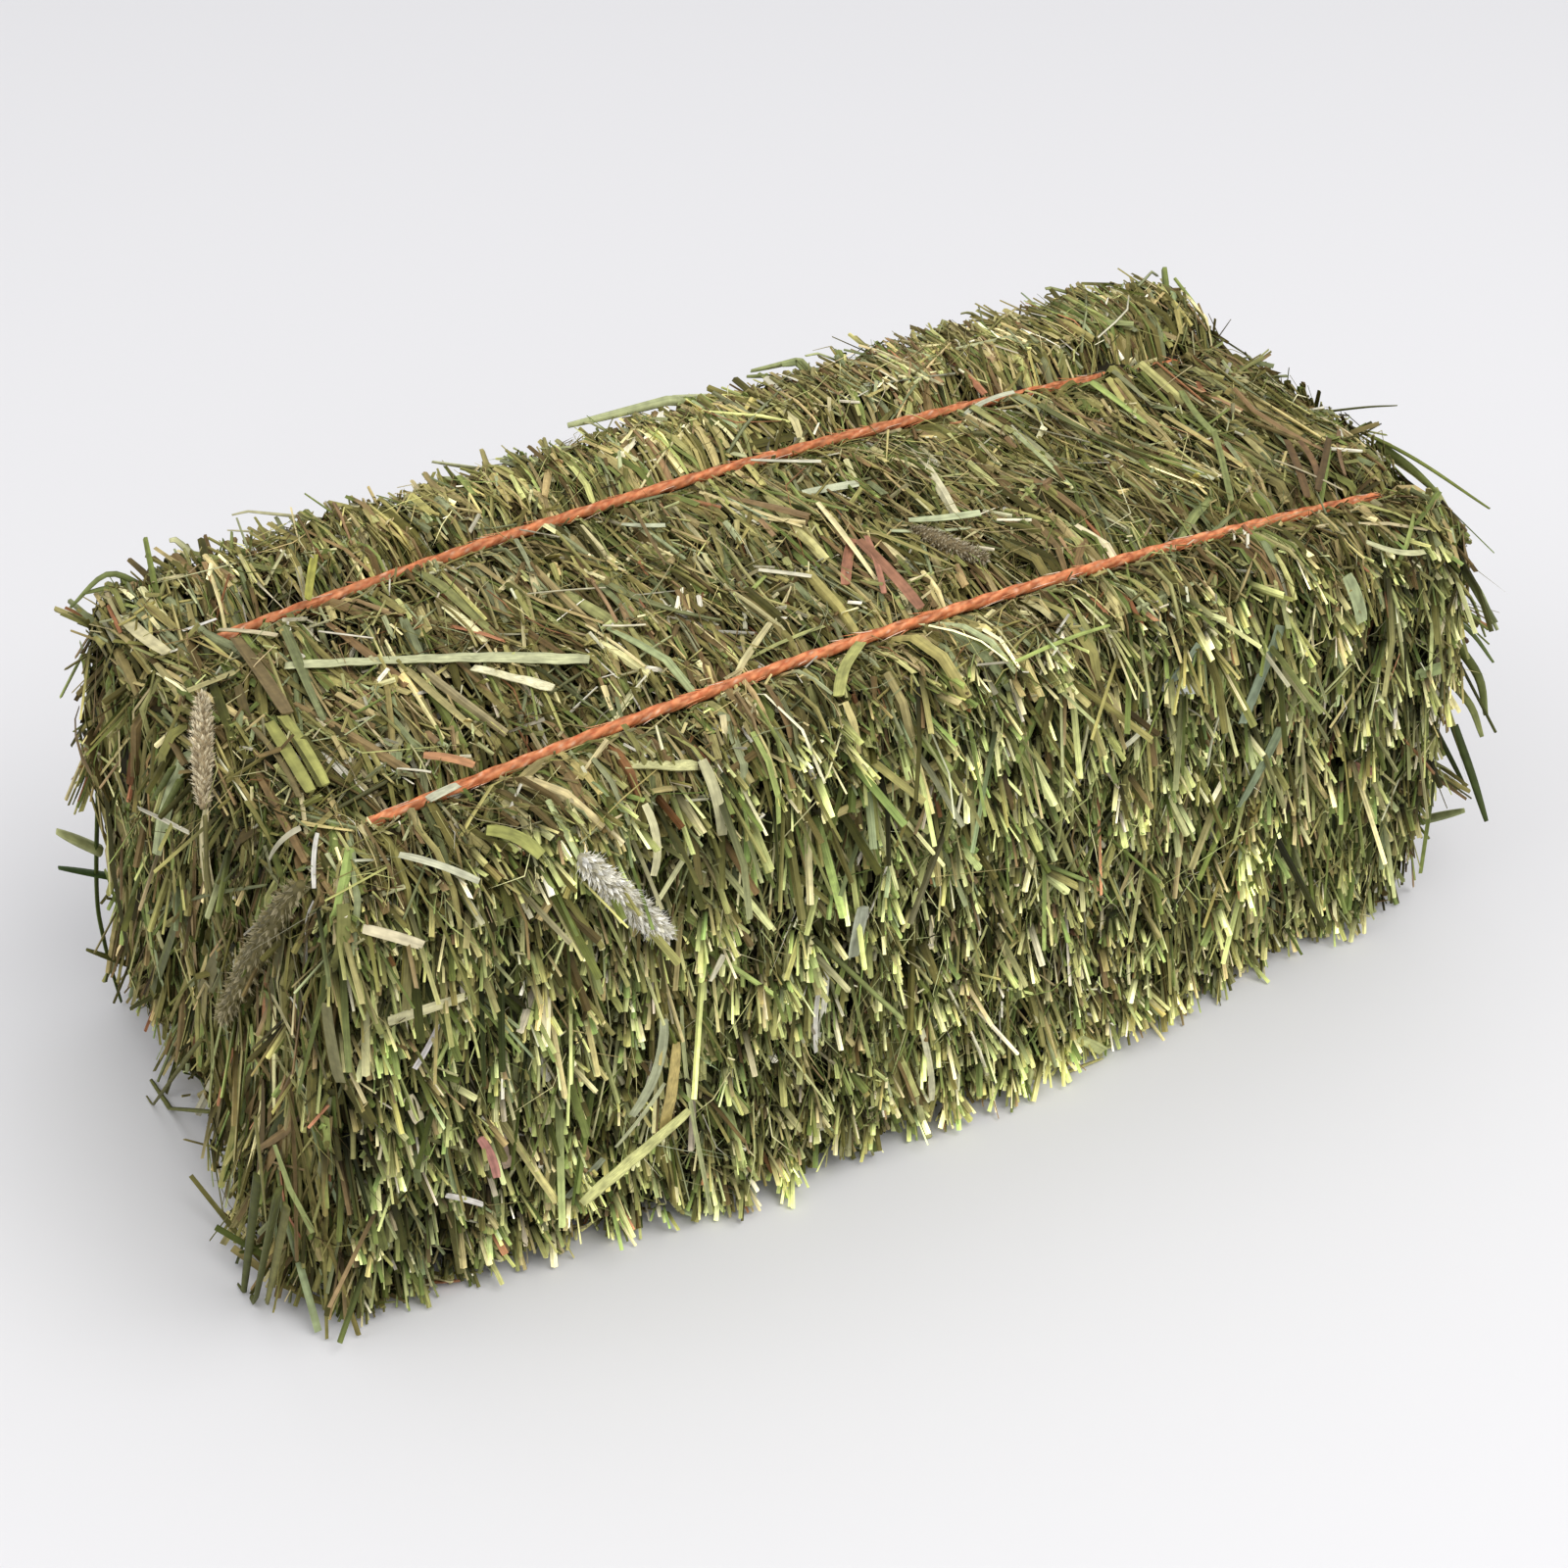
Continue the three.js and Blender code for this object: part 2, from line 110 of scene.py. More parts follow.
# The camera's right, up and back directions, from its azimuth, elevation and roll
def cameraAxes():
    a, e, turn = (np.radians(camera[key]) for key in ("azimuth", "elevation", "roll"))
    back = np.array([np.sin(a) * np.cos(e), -np.cos(a) * np.cos(e), np.sin(e)])
    right = np.array([np.cos(a), np.sin(a), 0])
    up = np.cross(back, right)
    return np.cos(turn) * right + np.sin(turn) * up, np.cos(turn) * up - np.sin(turn) * right, back


# Where the line of sight of a pixel meets the plane on which one coordinate (0, 1 or 2) has this
# level: camera + t ((px - middle) right + (middle - py) up - focal back)
def met(pixels, coordinate, level):
    right, up, back = cameraAxes()
    middle = camera["frame"] / 2
    focal = camera["lens"] / camera["sensor"] * camera["frame"]
    pixels = np.asarray(pixels, float)
    sight = (pixels[..., :1] - middle) * right + (middle - pixels[..., 1:]) * up - focal * back
    start = np.array(camera["place"])
    return start + sight * ((level - start[coordinate]) / sight[..., coordinate])[..., None]


# Colours of dry hay in daylight, as red, green and blue up to 255
hayColours = {
    "olive": (138, 134, 84),
    "khaki": (160, 150, 104),
    "green": (112, 124, 72),
    "spring": (166, 169, 112),
    "lime": (194, 195, 142),
    "greyGreen": (134, 142, 108),
    "straw": (202, 194, 148),
    "pale": (226, 221, 190),
    "brown": (118, 101, 74),
    "rust": (146, 104, 76),
    "dark": (78, 76, 44),
}

# Parts of each colour on each side of the bale
mixes = {
    "top": {"olive": 33, "khaki": 20, "green": 12, "spring": 8, "greyGreen": 12, "straw": 7,
            "pale": 1.4, "brown": 12, "rust": 1, "dark": 6},
    "cut": {"olive": 16, "khaki": 8, "green": 17, "spring": 28, "lime": 14, "greyGreen": 3, "straw": 9,
            "pale": 3, "brown": 4, "rust": 0.5, "dark": 6},
    "end": {"olive": 32, "khaki": 13, "green": 18, "spring": 4.5, "greyGreen": 6, "straw": 3.5,
            "pale": 0.8, "brown": 13, "rust": 0.7, "dark": 14},
    "chaff": {"khaki": 22, "straw": 22, "pale": 5, "spring": 22, "brown": 14, "olive": 12},
    "chips": {"straw": 34, "pale": 36, "lime": 20, "khaki": 10},
}


# sRGB to linear light
def linear(colour):
    value = np.asarray(colour, float) / 255
    return np.where(value <= 0.04045, value / 12.92, ((value + 0.055) / 1.055) ** 2.4)


brightest = linear((226, 221, 192))
# Factors on red, green and blue: the room's light is bluer than daylight, and the ends are duller.
warmth = {"top": (1.03, 0.98, 0.84), "cut": (1.0, 1.03, 0.86), "end": (0.95, 0.93, 0.78)}


# Painted shade is made brown: darker tints, mostly darkened as painted shade, lose blue:
# blue times 0.36 + 0.76 sqrt(light / 0.25), up to 1.12.
def shaded(tints):
    share = np.minimum(0.36 + 0.76 * np.sqrt(tints.mean(axis=-1) / 0.25), 1.12)
    return np.concatenate([tints[..., :2], tints[..., 2:] * share[..., None]], axis=-1)


# One colour for each strand, drawn by the parts of the mix, each a little lighter, darker,
# yellower or greener than its name.
def drawTints(dice, count, mix):
    names = list(mixes[mix])
    parts = np.array([mixes[mix][name] for name in names], float)
    palette = linear([hayColours[name] for name in names])
    tints = palette[dice.choice(len(names), count, p=parts / parts.sum())]
    light = np.exp(dice.normal(0, 0.24, (count, 1)))
    tints = tints * light * np.exp(dice.normal(0, 0.03, (count, 3)))
    return np.minimum(tints * np.array(warmth.get(mix, (1, 1, 0.9))), brightest)


# A smooth random field: the sum of nine sine waves that run in random directions, with lengths
# near the given sizes, one for each column of the places. It stays mostly between -1 and 1.
def swell(places, sizes, seed):
    dice = np.random.default_rng(seed)
    waves = dice.normal(size=(9, len(sizes)))
    waves *= dice.uniform(0.7, 1.5, (9, 1)) / np.linalg.norm(waves, axis=1, keepdims=True)
    angle = 2 * np.pi * (places / np.array(sizes)) @ waves.T + dice.uniform(0, 2 * np.pi, 9)
    return np.sin(angle).sum(axis=-1) / 3


# 0 below low, 1 above high, and a smooth step 3 u^2 - 2 u^3 between them
def ease(value, low, high):
    u = np.clip((value - low) / (high - low), 0, 1)
    return u * u * (3 - 2 * u)


# The same directions with length 1
def unit(vectors):
    return vectors / np.maximum(np.linalg.norm(vectors, axis=-1, keepdims=True), 1e-9)


# Height of the top: height - crown (x / half length)^2
def topAt(x):
    return bale["height"] - bale["crown"] * (x / halfLength) ** 2


# How far the low stems of an end stand out at y, z: strongest on the floor, a little towards the
# cut side, as flare (0.12 + 0.88 e^-((y - flareY) / width)^2) (1 - z / height)^1.6. Both ends also
# swell near half height.
def flareAt(x, y, z):
    flare = np.where(x < 0, bale["leftFlare"], bale["rightFlare"])
    low = np.clip(1 - z / bale["flareHeight"], 0, 1)
    swelling = np.where(x < 0, bale["leftSwell"], bale["rightSwell"])
    swelling = swelling * np.exp(-(((z - bale["swellZ"]) / bale["swellSpread"]) ** 2))
    across = np.exp(-(((y - bale["flareY"]) / bale["flareWidth"]) ** 2))
    return flare * (0.12 + 0.88 * across) * low**1.6 + swelling


# How far the middle of an end stands out past the bale's length, by the side of the bale
def domeAt(x, y):
    rightDome = bale["rightDome"] + bale["rightLap"] * ease(y, -72, 0)
    return np.where(x < 0, bale["leftDome"], rightDome)


# The long faces are one strip wound round the bale. x runs along the bale, and s is the way from
# the middle of the top down the front (s > 0) or the back (s < 0): flat, a quarter circle with
# out = r sin(turn) and down = r (1 - cos(turn)), straight down, a smaller quarter circle, and
# back under the bale. Gives the points, the way out of the face and the way down it.
def wound(x, s, lift):
    away = np.where(s > 0, -1.0, 1.0)
    way = np.abs(s)
    top = topAt(x)
    r, q = np.where(s > 0, bale["topRadius"], bale["farRadius"]), bale["footRadius"]
    flat = halfWidth - r
    straight = top - r - q
    turnTop = np.clip((way - flat) / r, 0, np.pi / 2)
    past = way - flat - r * np.pi / 2
    turnFoot = np.clip((past - straight) / q, 0, np.pi / 2)
    under = np.clip(past - straight - q * np.pi / 2, 0, flat + r - q)
    out = np.minimum(way, flat) + r * np.sin(turnTop) - q * (1 - np.cos(turnFoot)) - under
    z = top - r * (1 - np.cos(turnTop)) - np.clip(past, 0, straight) - q * np.sin(turnFoot)
    belly = np.where(s > 0, bale["frontBelly"], bale["backBelly"])
    belly = belly * np.exp(-(((x - bale["bellyX"]) / bale["bellyLength"]) ** 4))
    belly = belly * np.exp(-(((z - bale["bellyZ"]) / bale["bellySpread"]) ** 2))
    turn = turnTop + turnFoot
    outward = np.stack([np.zeros_like(z), away * np.sin(turn), np.cos(turn)], -1)
    down = np.stack([np.zeros_like(z), away * np.cos(turn), -np.sin(turn)], -1)
    y = away * out * (1 + belly / halfWidth)
    rounding = bale["endRadius"]
    near = np.clip((np.abs(x) - halfLength - domeAt(x, y) + rounding) / rounding, 0, 1)
    splay = np.sign(x) * flareAt(x, y, z) * ease(np.abs(x), 122, halfLength)
    points = np.stack([x + splay, y, z], -1)
    points += outward * (lift - rounding * (1 - np.sqrt(1 - near**2)))[..., None]
    return points, outward, down


lap = 26  # an end's strip begins this far inside the end, on the top
endLine = lap - bale["endRadius"] * (1 - np.pi / 2) + topAt(halfLength)  # t + z on the upright part


# An end face is a strip as well: y runs across it, and t is the way over the top edge and down
# to the floor. end is -1 at the left and 1 at the right.
def hung(end, y, t, lift):
    r = bale["endRadius"]
    edge = np.where(y < 0, bale["topRadius"], bale["farRadius"])
    side = np.clip((np.abs(y) - halfWidth + edge) / edge, 0, 1)
    top = topAt(halfLength) - 0.8 * edge * (1 - np.sqrt(1 - side**2))
    turn = np.clip((t - lap) / r, 0, np.pi / 2)
    z = top - r * (1 - np.cos(turn)) - np.clip(t - lap - r * np.pi / 2, 0, None)
    z = np.maximum(z, 0)
    corner = np.clip((np.abs(y) - halfWidth + 12) / 16, 0, 0.98)
    out = halfLength + domeAt(end, y) - r - lap + np.minimum(t, lap) + r * np.sin(turn)
    out = out - bale["endCorner"] * (1 - np.sqrt(1 - corner**2)) + flareAt(end, y, z) * np.sin(turn)
    outward = unit(np.stack([end * np.sin(turn), 0.8 * np.sign(y) * corner, np.cos(turn)], -1))
    down = np.stack([end * np.cos(turn), np.zeros_like(z), -np.sin(turn)], -1)
    points = np.stack([end * out, y, z], -1) + outward * lift[..., None]
    return points, outward, down


# Dark gaps in the sides, upright and narrow: 1 in a gap and 0 outside
def gapAt(x, s):
    return ease(swell(np.stack([x, s], -1), (7, 26), 17), 0.7, 1.25) * ease(np.abs(s), 68, 84)


# How far the hay stands out of the long faces: broad swells and small lumps on the top, which is
# fuller along its far edge and hangs over it, upright ridges and gaps on the sides, and a seam
# where one flake ends and the next begins.
def woundRelief(x, s):
    place = np.stack([x, s], -1)
    onSide = ease(np.abs(s), 50, 78)
    top = 1.3 * swell(place, (34, 26), 1) + 0.9 * swell(place, (10, 15), 2)
    side = 1.4 * swell(place, (30, 60), 3) + 2.5 * swell(place, (9, 34), 4)
    side += 1.2 * swell(place, (5, 12), 5) - 4.5 * gapAt(x, s)
    side -= (2.5 * ease(np.abs(x), 88, 112) + 2.5 * ease(-x, 120, 140)) * ease(s, 125, 160)
    top += 3.2 * ease(-s, 30, 46) * ease(x, 10, 110) + 1.6 * ease(-s, 40, 50)
    overhang = np.exp(-(((s + 66) / 13) ** 2)) * (3 + 4 * ease(x, -40, 70))
    share = (x + halfLength + 1.8 * swell(place, (44, 28), 6)) / flakePitch
    seam = np.abs((share + 0.5) % 1 - 0.5) * flakePitch
    between = (1 + 2.4 * onSide) * np.exp(-((seam / 1.6) ** 2))
    return top * (1 - onSide) + side * onSide + overhang - between


# The ends have hanging ridges. On the right one the twines lie in grooves, pulled in to their depth
# by the share e^-((|y| - twine y) / 4)^4.
def hungRelief(end, y, t):
    place = np.stack([y + 200 * end, t], -1)
    ridges = (1.6 * swell(place, (26, 60), 7) + 2.9 * swell(place, (9, 44), 8)
              + 1.2 * swell(place, (6, 15), 9) - 0.6)
    if end < 0:
        return ridges
    z = np.clip(endLine - t, 0, None)
    bottom = twine["endX"] - 1.2 - halfLength - domeAt(end, y) - flareAt(end, y, z)
    near = np.exp(-(((np.abs(y) - twine["y"]) / 4) ** 4)) * ease(t, lap, lap + 14)
    return ridges + (np.minimum(ridges, bottom) - ridges) * near


# Hay by a twine is pressed down to the twine's underside: the height goes to the lower of itself
# and that depth by the share e^-((|y| - twine y) / 3)^2. The left end's stems hide the twine there.
def pressed(points, height):
    x, y, z = points[..., 0], points[..., 1], points[..., 2]
    near = np.exp(-(((np.abs(y) - twine["y"]) / 3) ** 2)) * ((z > 96) | (z < 14))
    near = near * ease(x, -142, -124)
    depth = twine["sunk"] + twine["bite"] * (x / halfLength) ** 2 + twine["radius"] + 0.5
    depth = np.where(z > 60, depth, twine["floor"] + twine["radius"] + 0.4)
    return height + (np.minimum(height, -depth) - height) * near


# The side and the rise of a strand at each ring: side = forward x up and rise = side x forward,
# both turned about the centre line by the roll.
def framed(centre, up, roll):
    forward = unit(np.gradient(centre, axis=1))
    side = unit(np.cross(forward, up))
    rise = np.cross(side, forward)
    c, s = np.cos(roll)[..., None], np.sin(roll)[..., None]
    return side * c + rise * s, rise * c - side * s


# Strands are closed tubes. Corner k of a ring is centre - side half cos(a) - rise ridge sin(a)
# + rise fold half cos(a)^2, with a = 2 pi (k + 1/4) / corners. A pointed one ends in its centre.
def strands(centre, up, half, ridge, tints, roll=0, corners=3, pointed=False, fold=0, smooth=False):
    count, rings = centre.shape[:2]
    roll = np.broadcast_to(np.asarray(roll, float), (count, rings))
    half = np.broadcast_to(half, (count, rings))[..., None]
    reach = np.array(bale["reach"])
    centre = np.clip(centre, np.array([-reach[0], -reach[1], 0.2]) + half, reach - half)
    side, rise = framed(centre, up, roll)
    ridge = np.broadcast_to(ridge, (count, rings))[..., None]
    tints = np.broadcast_to(tints, (count, rings, 3))
    a = 2 * np.pi * (np.arange(corners) + 0.25) / corners
    across = half * np.cos(a)
    raised = fold * half * np.cos(a) ** 2 - ridge * np.sin(a)
    points = centre[:, :, None] - side[:, :, None] * across[..., None]
    points = points + rise[:, :, None] * raised[..., None]
    tubeTints = np.repeat(tints, corners, axis=1)
    if pointed:
        points = np.concatenate([points[:, :-1].reshape(count, -1, 3), centre[:, -1:]], axis=1)
        tubeTints = np.concatenate([tubeTints[:, :-corners], tints[:, -1:]], axis=1)
    return {
        "points": points.reshape(count, -1, 3),
        "tints": tubeTints,
        "pattern": (rings, corners, pointed, False),
        "smooth": smooth,
        "broad": False,
    }


mapLow, mapSpan, mapHigh = 0.06, 0.88, 0.94  # a tube's sides lie between these in its cell


# The faces of one tube: side faces join ring j to ring j + 1, the ends have flat caps, and the last
# ring of a pointed tube is one point. A looped tube has no ends. Gives the loops, the number of
# corners of each face, and the loops' places in the tube's cell of the map, from 0 to 1.
def tubeFaces(rings, corners, pointed, looped):
    bands = rings if looped else rings - 1 - pointed
    grid = np.meshgrid(np.arange(bands), np.arange(corners), indexing="ij")
    j, k = grid[0].ravel(), grid[1].ravel()
    ahead, beside = (j + 1) % rings * corners, (k + 1) % corners
    here = j * corners
    loops = [np.stack([here + k, ahead + k, ahead + beside, here + beside], -1).ravel()]
    sizes = [np.full(len(j), 4)]
    span = rings - 1 + looped
    low, high = mapLow + mapSpan * j / span, mapLow + mapSpan * (j + 1) / span
    left, right = (k + mapLow) / corners, (k + mapHigh) / corners
    places = [np.stack([low, left, high, left, high, right, low, right], -1).reshape(-1, 2)]
    k = np.arange(corners)
    turn = 2 * np.pi * k / corners
    disc = np.stack([0.028 + 0.024 * np.cos(turn), 0.5 + 0.4 * np.sin(turn)], -1)
    if not looped:
        loops.append(k)
        sizes.append(np.array([corners]))
        places.append(disc)
    if pointed:
        last, tip = (rings - 2) * corners, np.full(corners, (rings - 1) * corners)
        loops.append(np.stack([last + k, tip, last + (k + 1) % corners], -1).ravel())
        sizes.append(np.full(corners, 3))
        base, peak = np.full(corners, mapHigh - mapSpan / span), np.full(corners, mapHigh)
        left, right = (k + mapLow) / corners, (k + mapHigh) / corners
        fan = np.stack([base, left, peak, (left + right) / 2, base, right], -1)
        places.append(fan.reshape(-1, 2))
    elif not looped:
        loops.append((rings - 1) * corners + k[::-1])
        sizes.append(np.array([corners]))
        places.append(disc + np.array([0.944, 0]))
    return np.concatenate(loops), np.concatenate(sizes), np.concatenate(places)


broadBand = 0.1  # share of the map's height that each broad tube has


# A mesh in metres from its points and their tints, the loops' points and places in the map, and the
# faces' numbers of corners
def meshOf(name, points, tints, loops, places, sizes, smooth):
    mesh = bpy.data.meshes.new(name)
    mesh.vertices.add(len(points))
    mesh.vertices.foreach_set("co", (points * metres).ravel())
    mesh.loops.add(len(loops))
    mesh.loops.foreach_set("vertex_index", loops.astype(np.int32))
    mesh.polygons.add(len(sizes))
    starts = np.concatenate([[0], np.cumsum(sizes)[:-1]])
    mesh.polygons.foreach_set("loop_start", starts.astype(np.int32))
    mesh.polygons.foreach_set("use_smooth", smooth)
    mesh.uv_layers.new(name="OFBake").data.foreach_set("uv", places.ravel())
    colour = mesh.color_attributes.new(name="strawTint", type="FLOAT_COLOR", domain="POINT")
    rgba = np.concatenate([tints, np.ones((len(tints), 1))], axis=1)
    colour.data.foreach_set("color", rgba.ravel())
    mesh.update(calc_edges=True)
    return mesh


# Joins tubes into one piece and gives its number of triangles. Each strand has a cell of its own in
# the map, and the broad tubes have bands below the cells.
def pieceOf(name, tubes, material, replaced):
    broad = sum(len(tube["points"]) for tube in tubes if tube["broad"])
    slim = sum(len(tube["points"]) for tube in tubes if not tube["broad"])
    columns = max(1, int(np.ceil(np.sqrt(slim / 3))))
    rows = max(1, int(np.ceil(slim / columns)))
    floor = broad * broadBand if slim else 0
    bandHeight = broadBand if slim else 1 / max(broad, 1)
    points, tints, loops, sizes, places, smooth = [], [], [], [], [], []
    vertexCount, broadCount, slimCount = 0, 0, 0
    for tube in tubes:
        count, size = tube["points"].shape[:2]
        tubeLoops, tubeSizes, tubePlaces = tubeFaces(*tube["pattern"])
        starts = vertexCount + size * np.arange(count)
        loops.append((tubeLoops[None] + starts[:, None]).ravel())
        sizes.append(np.tile(tubeSizes, count))
        if tube["broad"]:
            corner = np.stack([np.zeros(count), (broadCount + np.arange(count)) * bandHeight], -1)
            cell = np.array([1, bandHeight])
            broadCount += count
        else:
            number = slimCount + np.arange(count)
            corner = np.stack([number % columns / columns, number // columns / rows], -1)
            corner = corner * np.array([1, 1 - floor]) + np.array([0, floor])
            cell = np.array([1 / columns, (1 - floor) / rows])
            slimCount += count
        inset = 0.04 + 0.92 * tubePlaces
        places.append((corner[:, None] + inset[None] * cell).reshape(-1, 2))
        smooth.append(np.full(len(tubeSizes) * count, tube["smooth"]))
        points.append(tube["points"].reshape(-1, 3))
        tints.append(tube["tints"].reshape(-1, 3))
        vertexCount += count * size
    columns = (points, tints, loops, places, sizes, smooth)
    mesh = meshOf(name, *(np.concatenate(column) for column in columns))
    mesh.materials.append(material)
    piece = bpy.data.objects.new(name, mesh)
    bpy.context.collection.objects.link(piece)
    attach(piece, "root")
    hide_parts(*replaced)
    return int((np.concatenate(sizes) - 2).sum())


flakeTubes = [[] for _ in range(bale["flakes"])]


# Each strand goes to the flake that its root is in. Tints are darker by the top edge of the left
# end and at the right end, and lighter along the foot of the cut side, as painted light from the
# floor.
def stow(tubes):
    x, y, z = tubes["points"][:, 0].T
    tone = 1 - 0.14 * ease(x, 95, 150) - 0.16 * ease(-x, 112, 150) * ease(z, 80, 110)
    # painted light from the floor: the foot of the cut side is lighter
    tone += 0.3 * (1 - ease(z, 6, 48)) * (y < 0)
    tints = shaded(tubes["tints"] * tone[:, None, None])
    number = np.clip((x + halfLength) // flakePitch, 0, bale["flakes"] - 1).astype(int)
    for flake in range(bale["flakes"]):
        inside = number == flake
        if inside.any():
            kept = {**tubes, "points": tubes["points"][inside], "tints": tints[inside]}
            flakeTubes[flake].append(kept)


# Random lengths or widths between low and high, with more of the small ones
def spread(dice, limits, count, power=1.6):
    return limits[0] + (limits[1] - limits[0]) * dice.random(count) ** power


# The tint along a strand: darker where it goes into the hay, as painted shade, and paler at its free
# end
def alongStrand(tints, t, root, tip):
    return tints[:, None] * (root + (tip - root) * t)[None, :, None]


twineHiddenX = -132  # left of this the hay lies over the twines


# Where strands would cross a twine, their middle moves off its line by their half span and a gap.
def besideTwines(middle, halfSpan, gap, chosen):
    for line in (-twine["y"], twine["y"]):
        aside = middle - line
        crosses = (np.abs(aside) < halfSpan) & chosen
        middle = np.where(crosses, line + np.where(aside > 0, 1, -1) * (halfSpan + gap), middle)
    return middle


# Strands that lie on a face. Over the face they run straight, with a bend past the middle:
# a + L (t cos h - k sin h) and b + L (t sin h + k cos h), where k = kink max(t - 0.45, 0). Their
# height goes from the relief at one end to the relief at the other, + low + lift t + arch 4 t (1 - t).
# With "from" in the recipe they start below that line of an end, and "grooved" ones leave its
# twines free. With clearTwine they end under the twines of a long face, and are pressed down there.
def layStrands(face, relief, a, b, heading, recipe, dice, tone=1, clearTwine=False):
    count = len(a)
    t = np.linspace(0, 1, recipe["rings"])
    length = spread(dice, recipe["length"], count)
    half = spread(dice, recipe["half"], count, 1.8)
    low = dice.uniform(*recipe["low"], count)
    lift = dice.normal(0, recipe["lift"], count)
    arch = np.abs(dice.normal(0, recipe["arch"], count))
    kink = dice.normal(0, recipe["kink"], count) * (dice.random(count) < recipe["bent"])
    kink += dice.normal(0, 0.05, count)
    if clearTwine:
        b = besideTwines(b, np.abs(length * np.sin(heading)) / 2, 0.2, a > twineHiddenX)
    if "from" in recipe:
        b = np.maximum(b, recipe["from"] + length * np.abs(np.sin(heading)) / 2)
        a = besideTwines(a, np.abs(length * np.cos(heading)) / 2 + half, 0.8, recipe["grooved"])
    limit = recipe["reach"] - length * np.abs(np.cos(heading)) / 2
    a = np.clip(a, -limit, limit + 4)
    bend = np.clip(t - 0.45, 0, None)[None] * kink[:, None]
    along = (t - 0.5)[None]
    c, s = np.cos(heading)[:, None], np.sin(heading)[:, None]
    wayA = a[:, None] + length[:, None] * (along * c - bend * s)
    wayB = b[:, None] + length[:, None] * (along * s + bend * c)
    ends = relief(wayA[:, [0, -1]], wayB[:, [0, -1]])
    height = ends[:, :1] * (1 - t) + ends[:, 1:] * t + low[:, None]
    height = height + lift[:, None] * (t - 0.5) + arch[:, None] * 4 * t * (1 - t)
    if clearTwine:
        height = pressed(face(wayA, wayB, np.zeros_like(height))[0], height)
    centre, outward, _ = face(wayA, wayB, height)
    # Painted shade between the strands: deeper strands, and those lying lower in the relief, are
    # darker
    depth = np.clip((low - recipe["low"][0]) / (recipe["low"][1] - recipe["low"][0]), 0, 1)
    tints = drawTints(dice, count, recipe["mix"]) * ((0.24 + 0.94 * depth) * tone)[:, None]
    tints *= (1 + 0.16 * swell(np.stack([a, b], -1), (38, 30), 12))[:, None]
    tints *= np.clip(1 + 0.12 * height.mean(axis=1), 0.3, 1.3)[:, None]
    taper = np.clip(1.15 - recipe["taper"] * (2 * t - 1) ** 2, 0.1, 1)[None]
    half = half[:, None] * taper
    roll = dice.normal(0, recipe["roll"], count)[:, None] + dice.normal(0, 0.5, count)[:, None] * t
    stow(strands(centre, outward, half, half * recipe["ridge"], alongStrand(tints, t, 0.9, 1.08),
                 roll, pointed=recipe["pointed"], smooth=recipe["smooth"]))


# Tufts that come out of a face, one at each place a, b. The strands of a tuft fan out a little. Each
# runs root + L (t way - sag t^2 up), where way = out cos(lean) + (down cos(turn)
# + beside sin(turn)) sin(lean).
def combStrands(face, relief, a, b, recipe, dice):
    size = (len(a), recipe["tuft"])
    count = size[0] * size[1]
    t = np.linspace(0, 1, recipe["rings"])
    turn = np.radians(recipe["turn"]) * dice.normal(0, 1, (size[0], 1))
    turn = turn + np.radians(12) * swell(np.stack([a, b], -1), (16, 30), 13)[:, None]
    across, along = dice.normal(0, 1.0, size), dice.normal(0, 1.5, size)
    turn = (turn + np.radians(8) * across + np.radians(4) * dice.normal(0, 1, size)).ravel()
    lean = np.radians(dice.normal(*recipe["lean"], (size[0], 1)) + dice.normal(0, 6, size)).ravel()
    low, high = recipe["low"]
    depth = np.clip(dice.random((size[0], 1)) + dice.normal(0, 0.2, size), 0, 1).ravel()
    tone = np.repeat(np.exp(dice.normal(0, 0.2, size[0])), size[1])
    a, b = np.repeat(a, size[1]), np.repeat(b, size[1])
    length = spread(dice, recipe["length"], count)
    half = spread(dice, recipe["half"], count, 1.5)
    height = relief(a, b)
    root, outward, down = face(a, b, height + low + (high - low) * depth)
    beside = np.cross(outward, down)
    root = root + beside * across.ravel()[:, None] + down * along.ravel()[:, None]
    way = down * np.cos(turn)[:, None] + beside * np.sin(turn)[:, None]
    way = outward * np.cos(lean)[:, None] + way * np.sin(lean)[:, None]
    sag = np.abs(dice.normal(0, recipe["sag"], count))
    centre = root[:, None] + (length[:, None] * t)[..., None] * way[:, None]
    centre[..., 2] -= (length * sag)[:, None] * t**2
    # Painted shade: deeper tufts, tufts in hollows of the relief and upright bands are darker, the
    # bands browner, and each stem is near black at its root
    tints = drawTints(dice, count, recipe["mix"]) * ((0.3 + 0.85 * depth) * tone)[:, None]
    tints *= np.clip(1 + 0.11 * height, 0.3, 1.3)[:, None]
    tints *= (1 + 0.14 * swell(np.stack([a, b], -1), (34, 40), 14))[:, None]
    bands = np.clip(0.45 + 0.85 * swell(np.stack([a, b], -1), (10, 50), 18), 0, 1)[:, None]
    tints *= 1.22 - 0.62 * bands * np.array([0.9, 1.0, 1.08])
    half = half[:, None] * (1 - recipe["taper"] * t)[None]
    roll = dice.normal(0, recipe["roll"], count)[:, None]
    stow(strands(centre, outward[:, None], half, half * recipe["ridge"],
                 alongStrand(tints, t, 0.1, 1.68), roll,
                 pointed=recipe["pointed"], smooth=recipe["smooth"]))


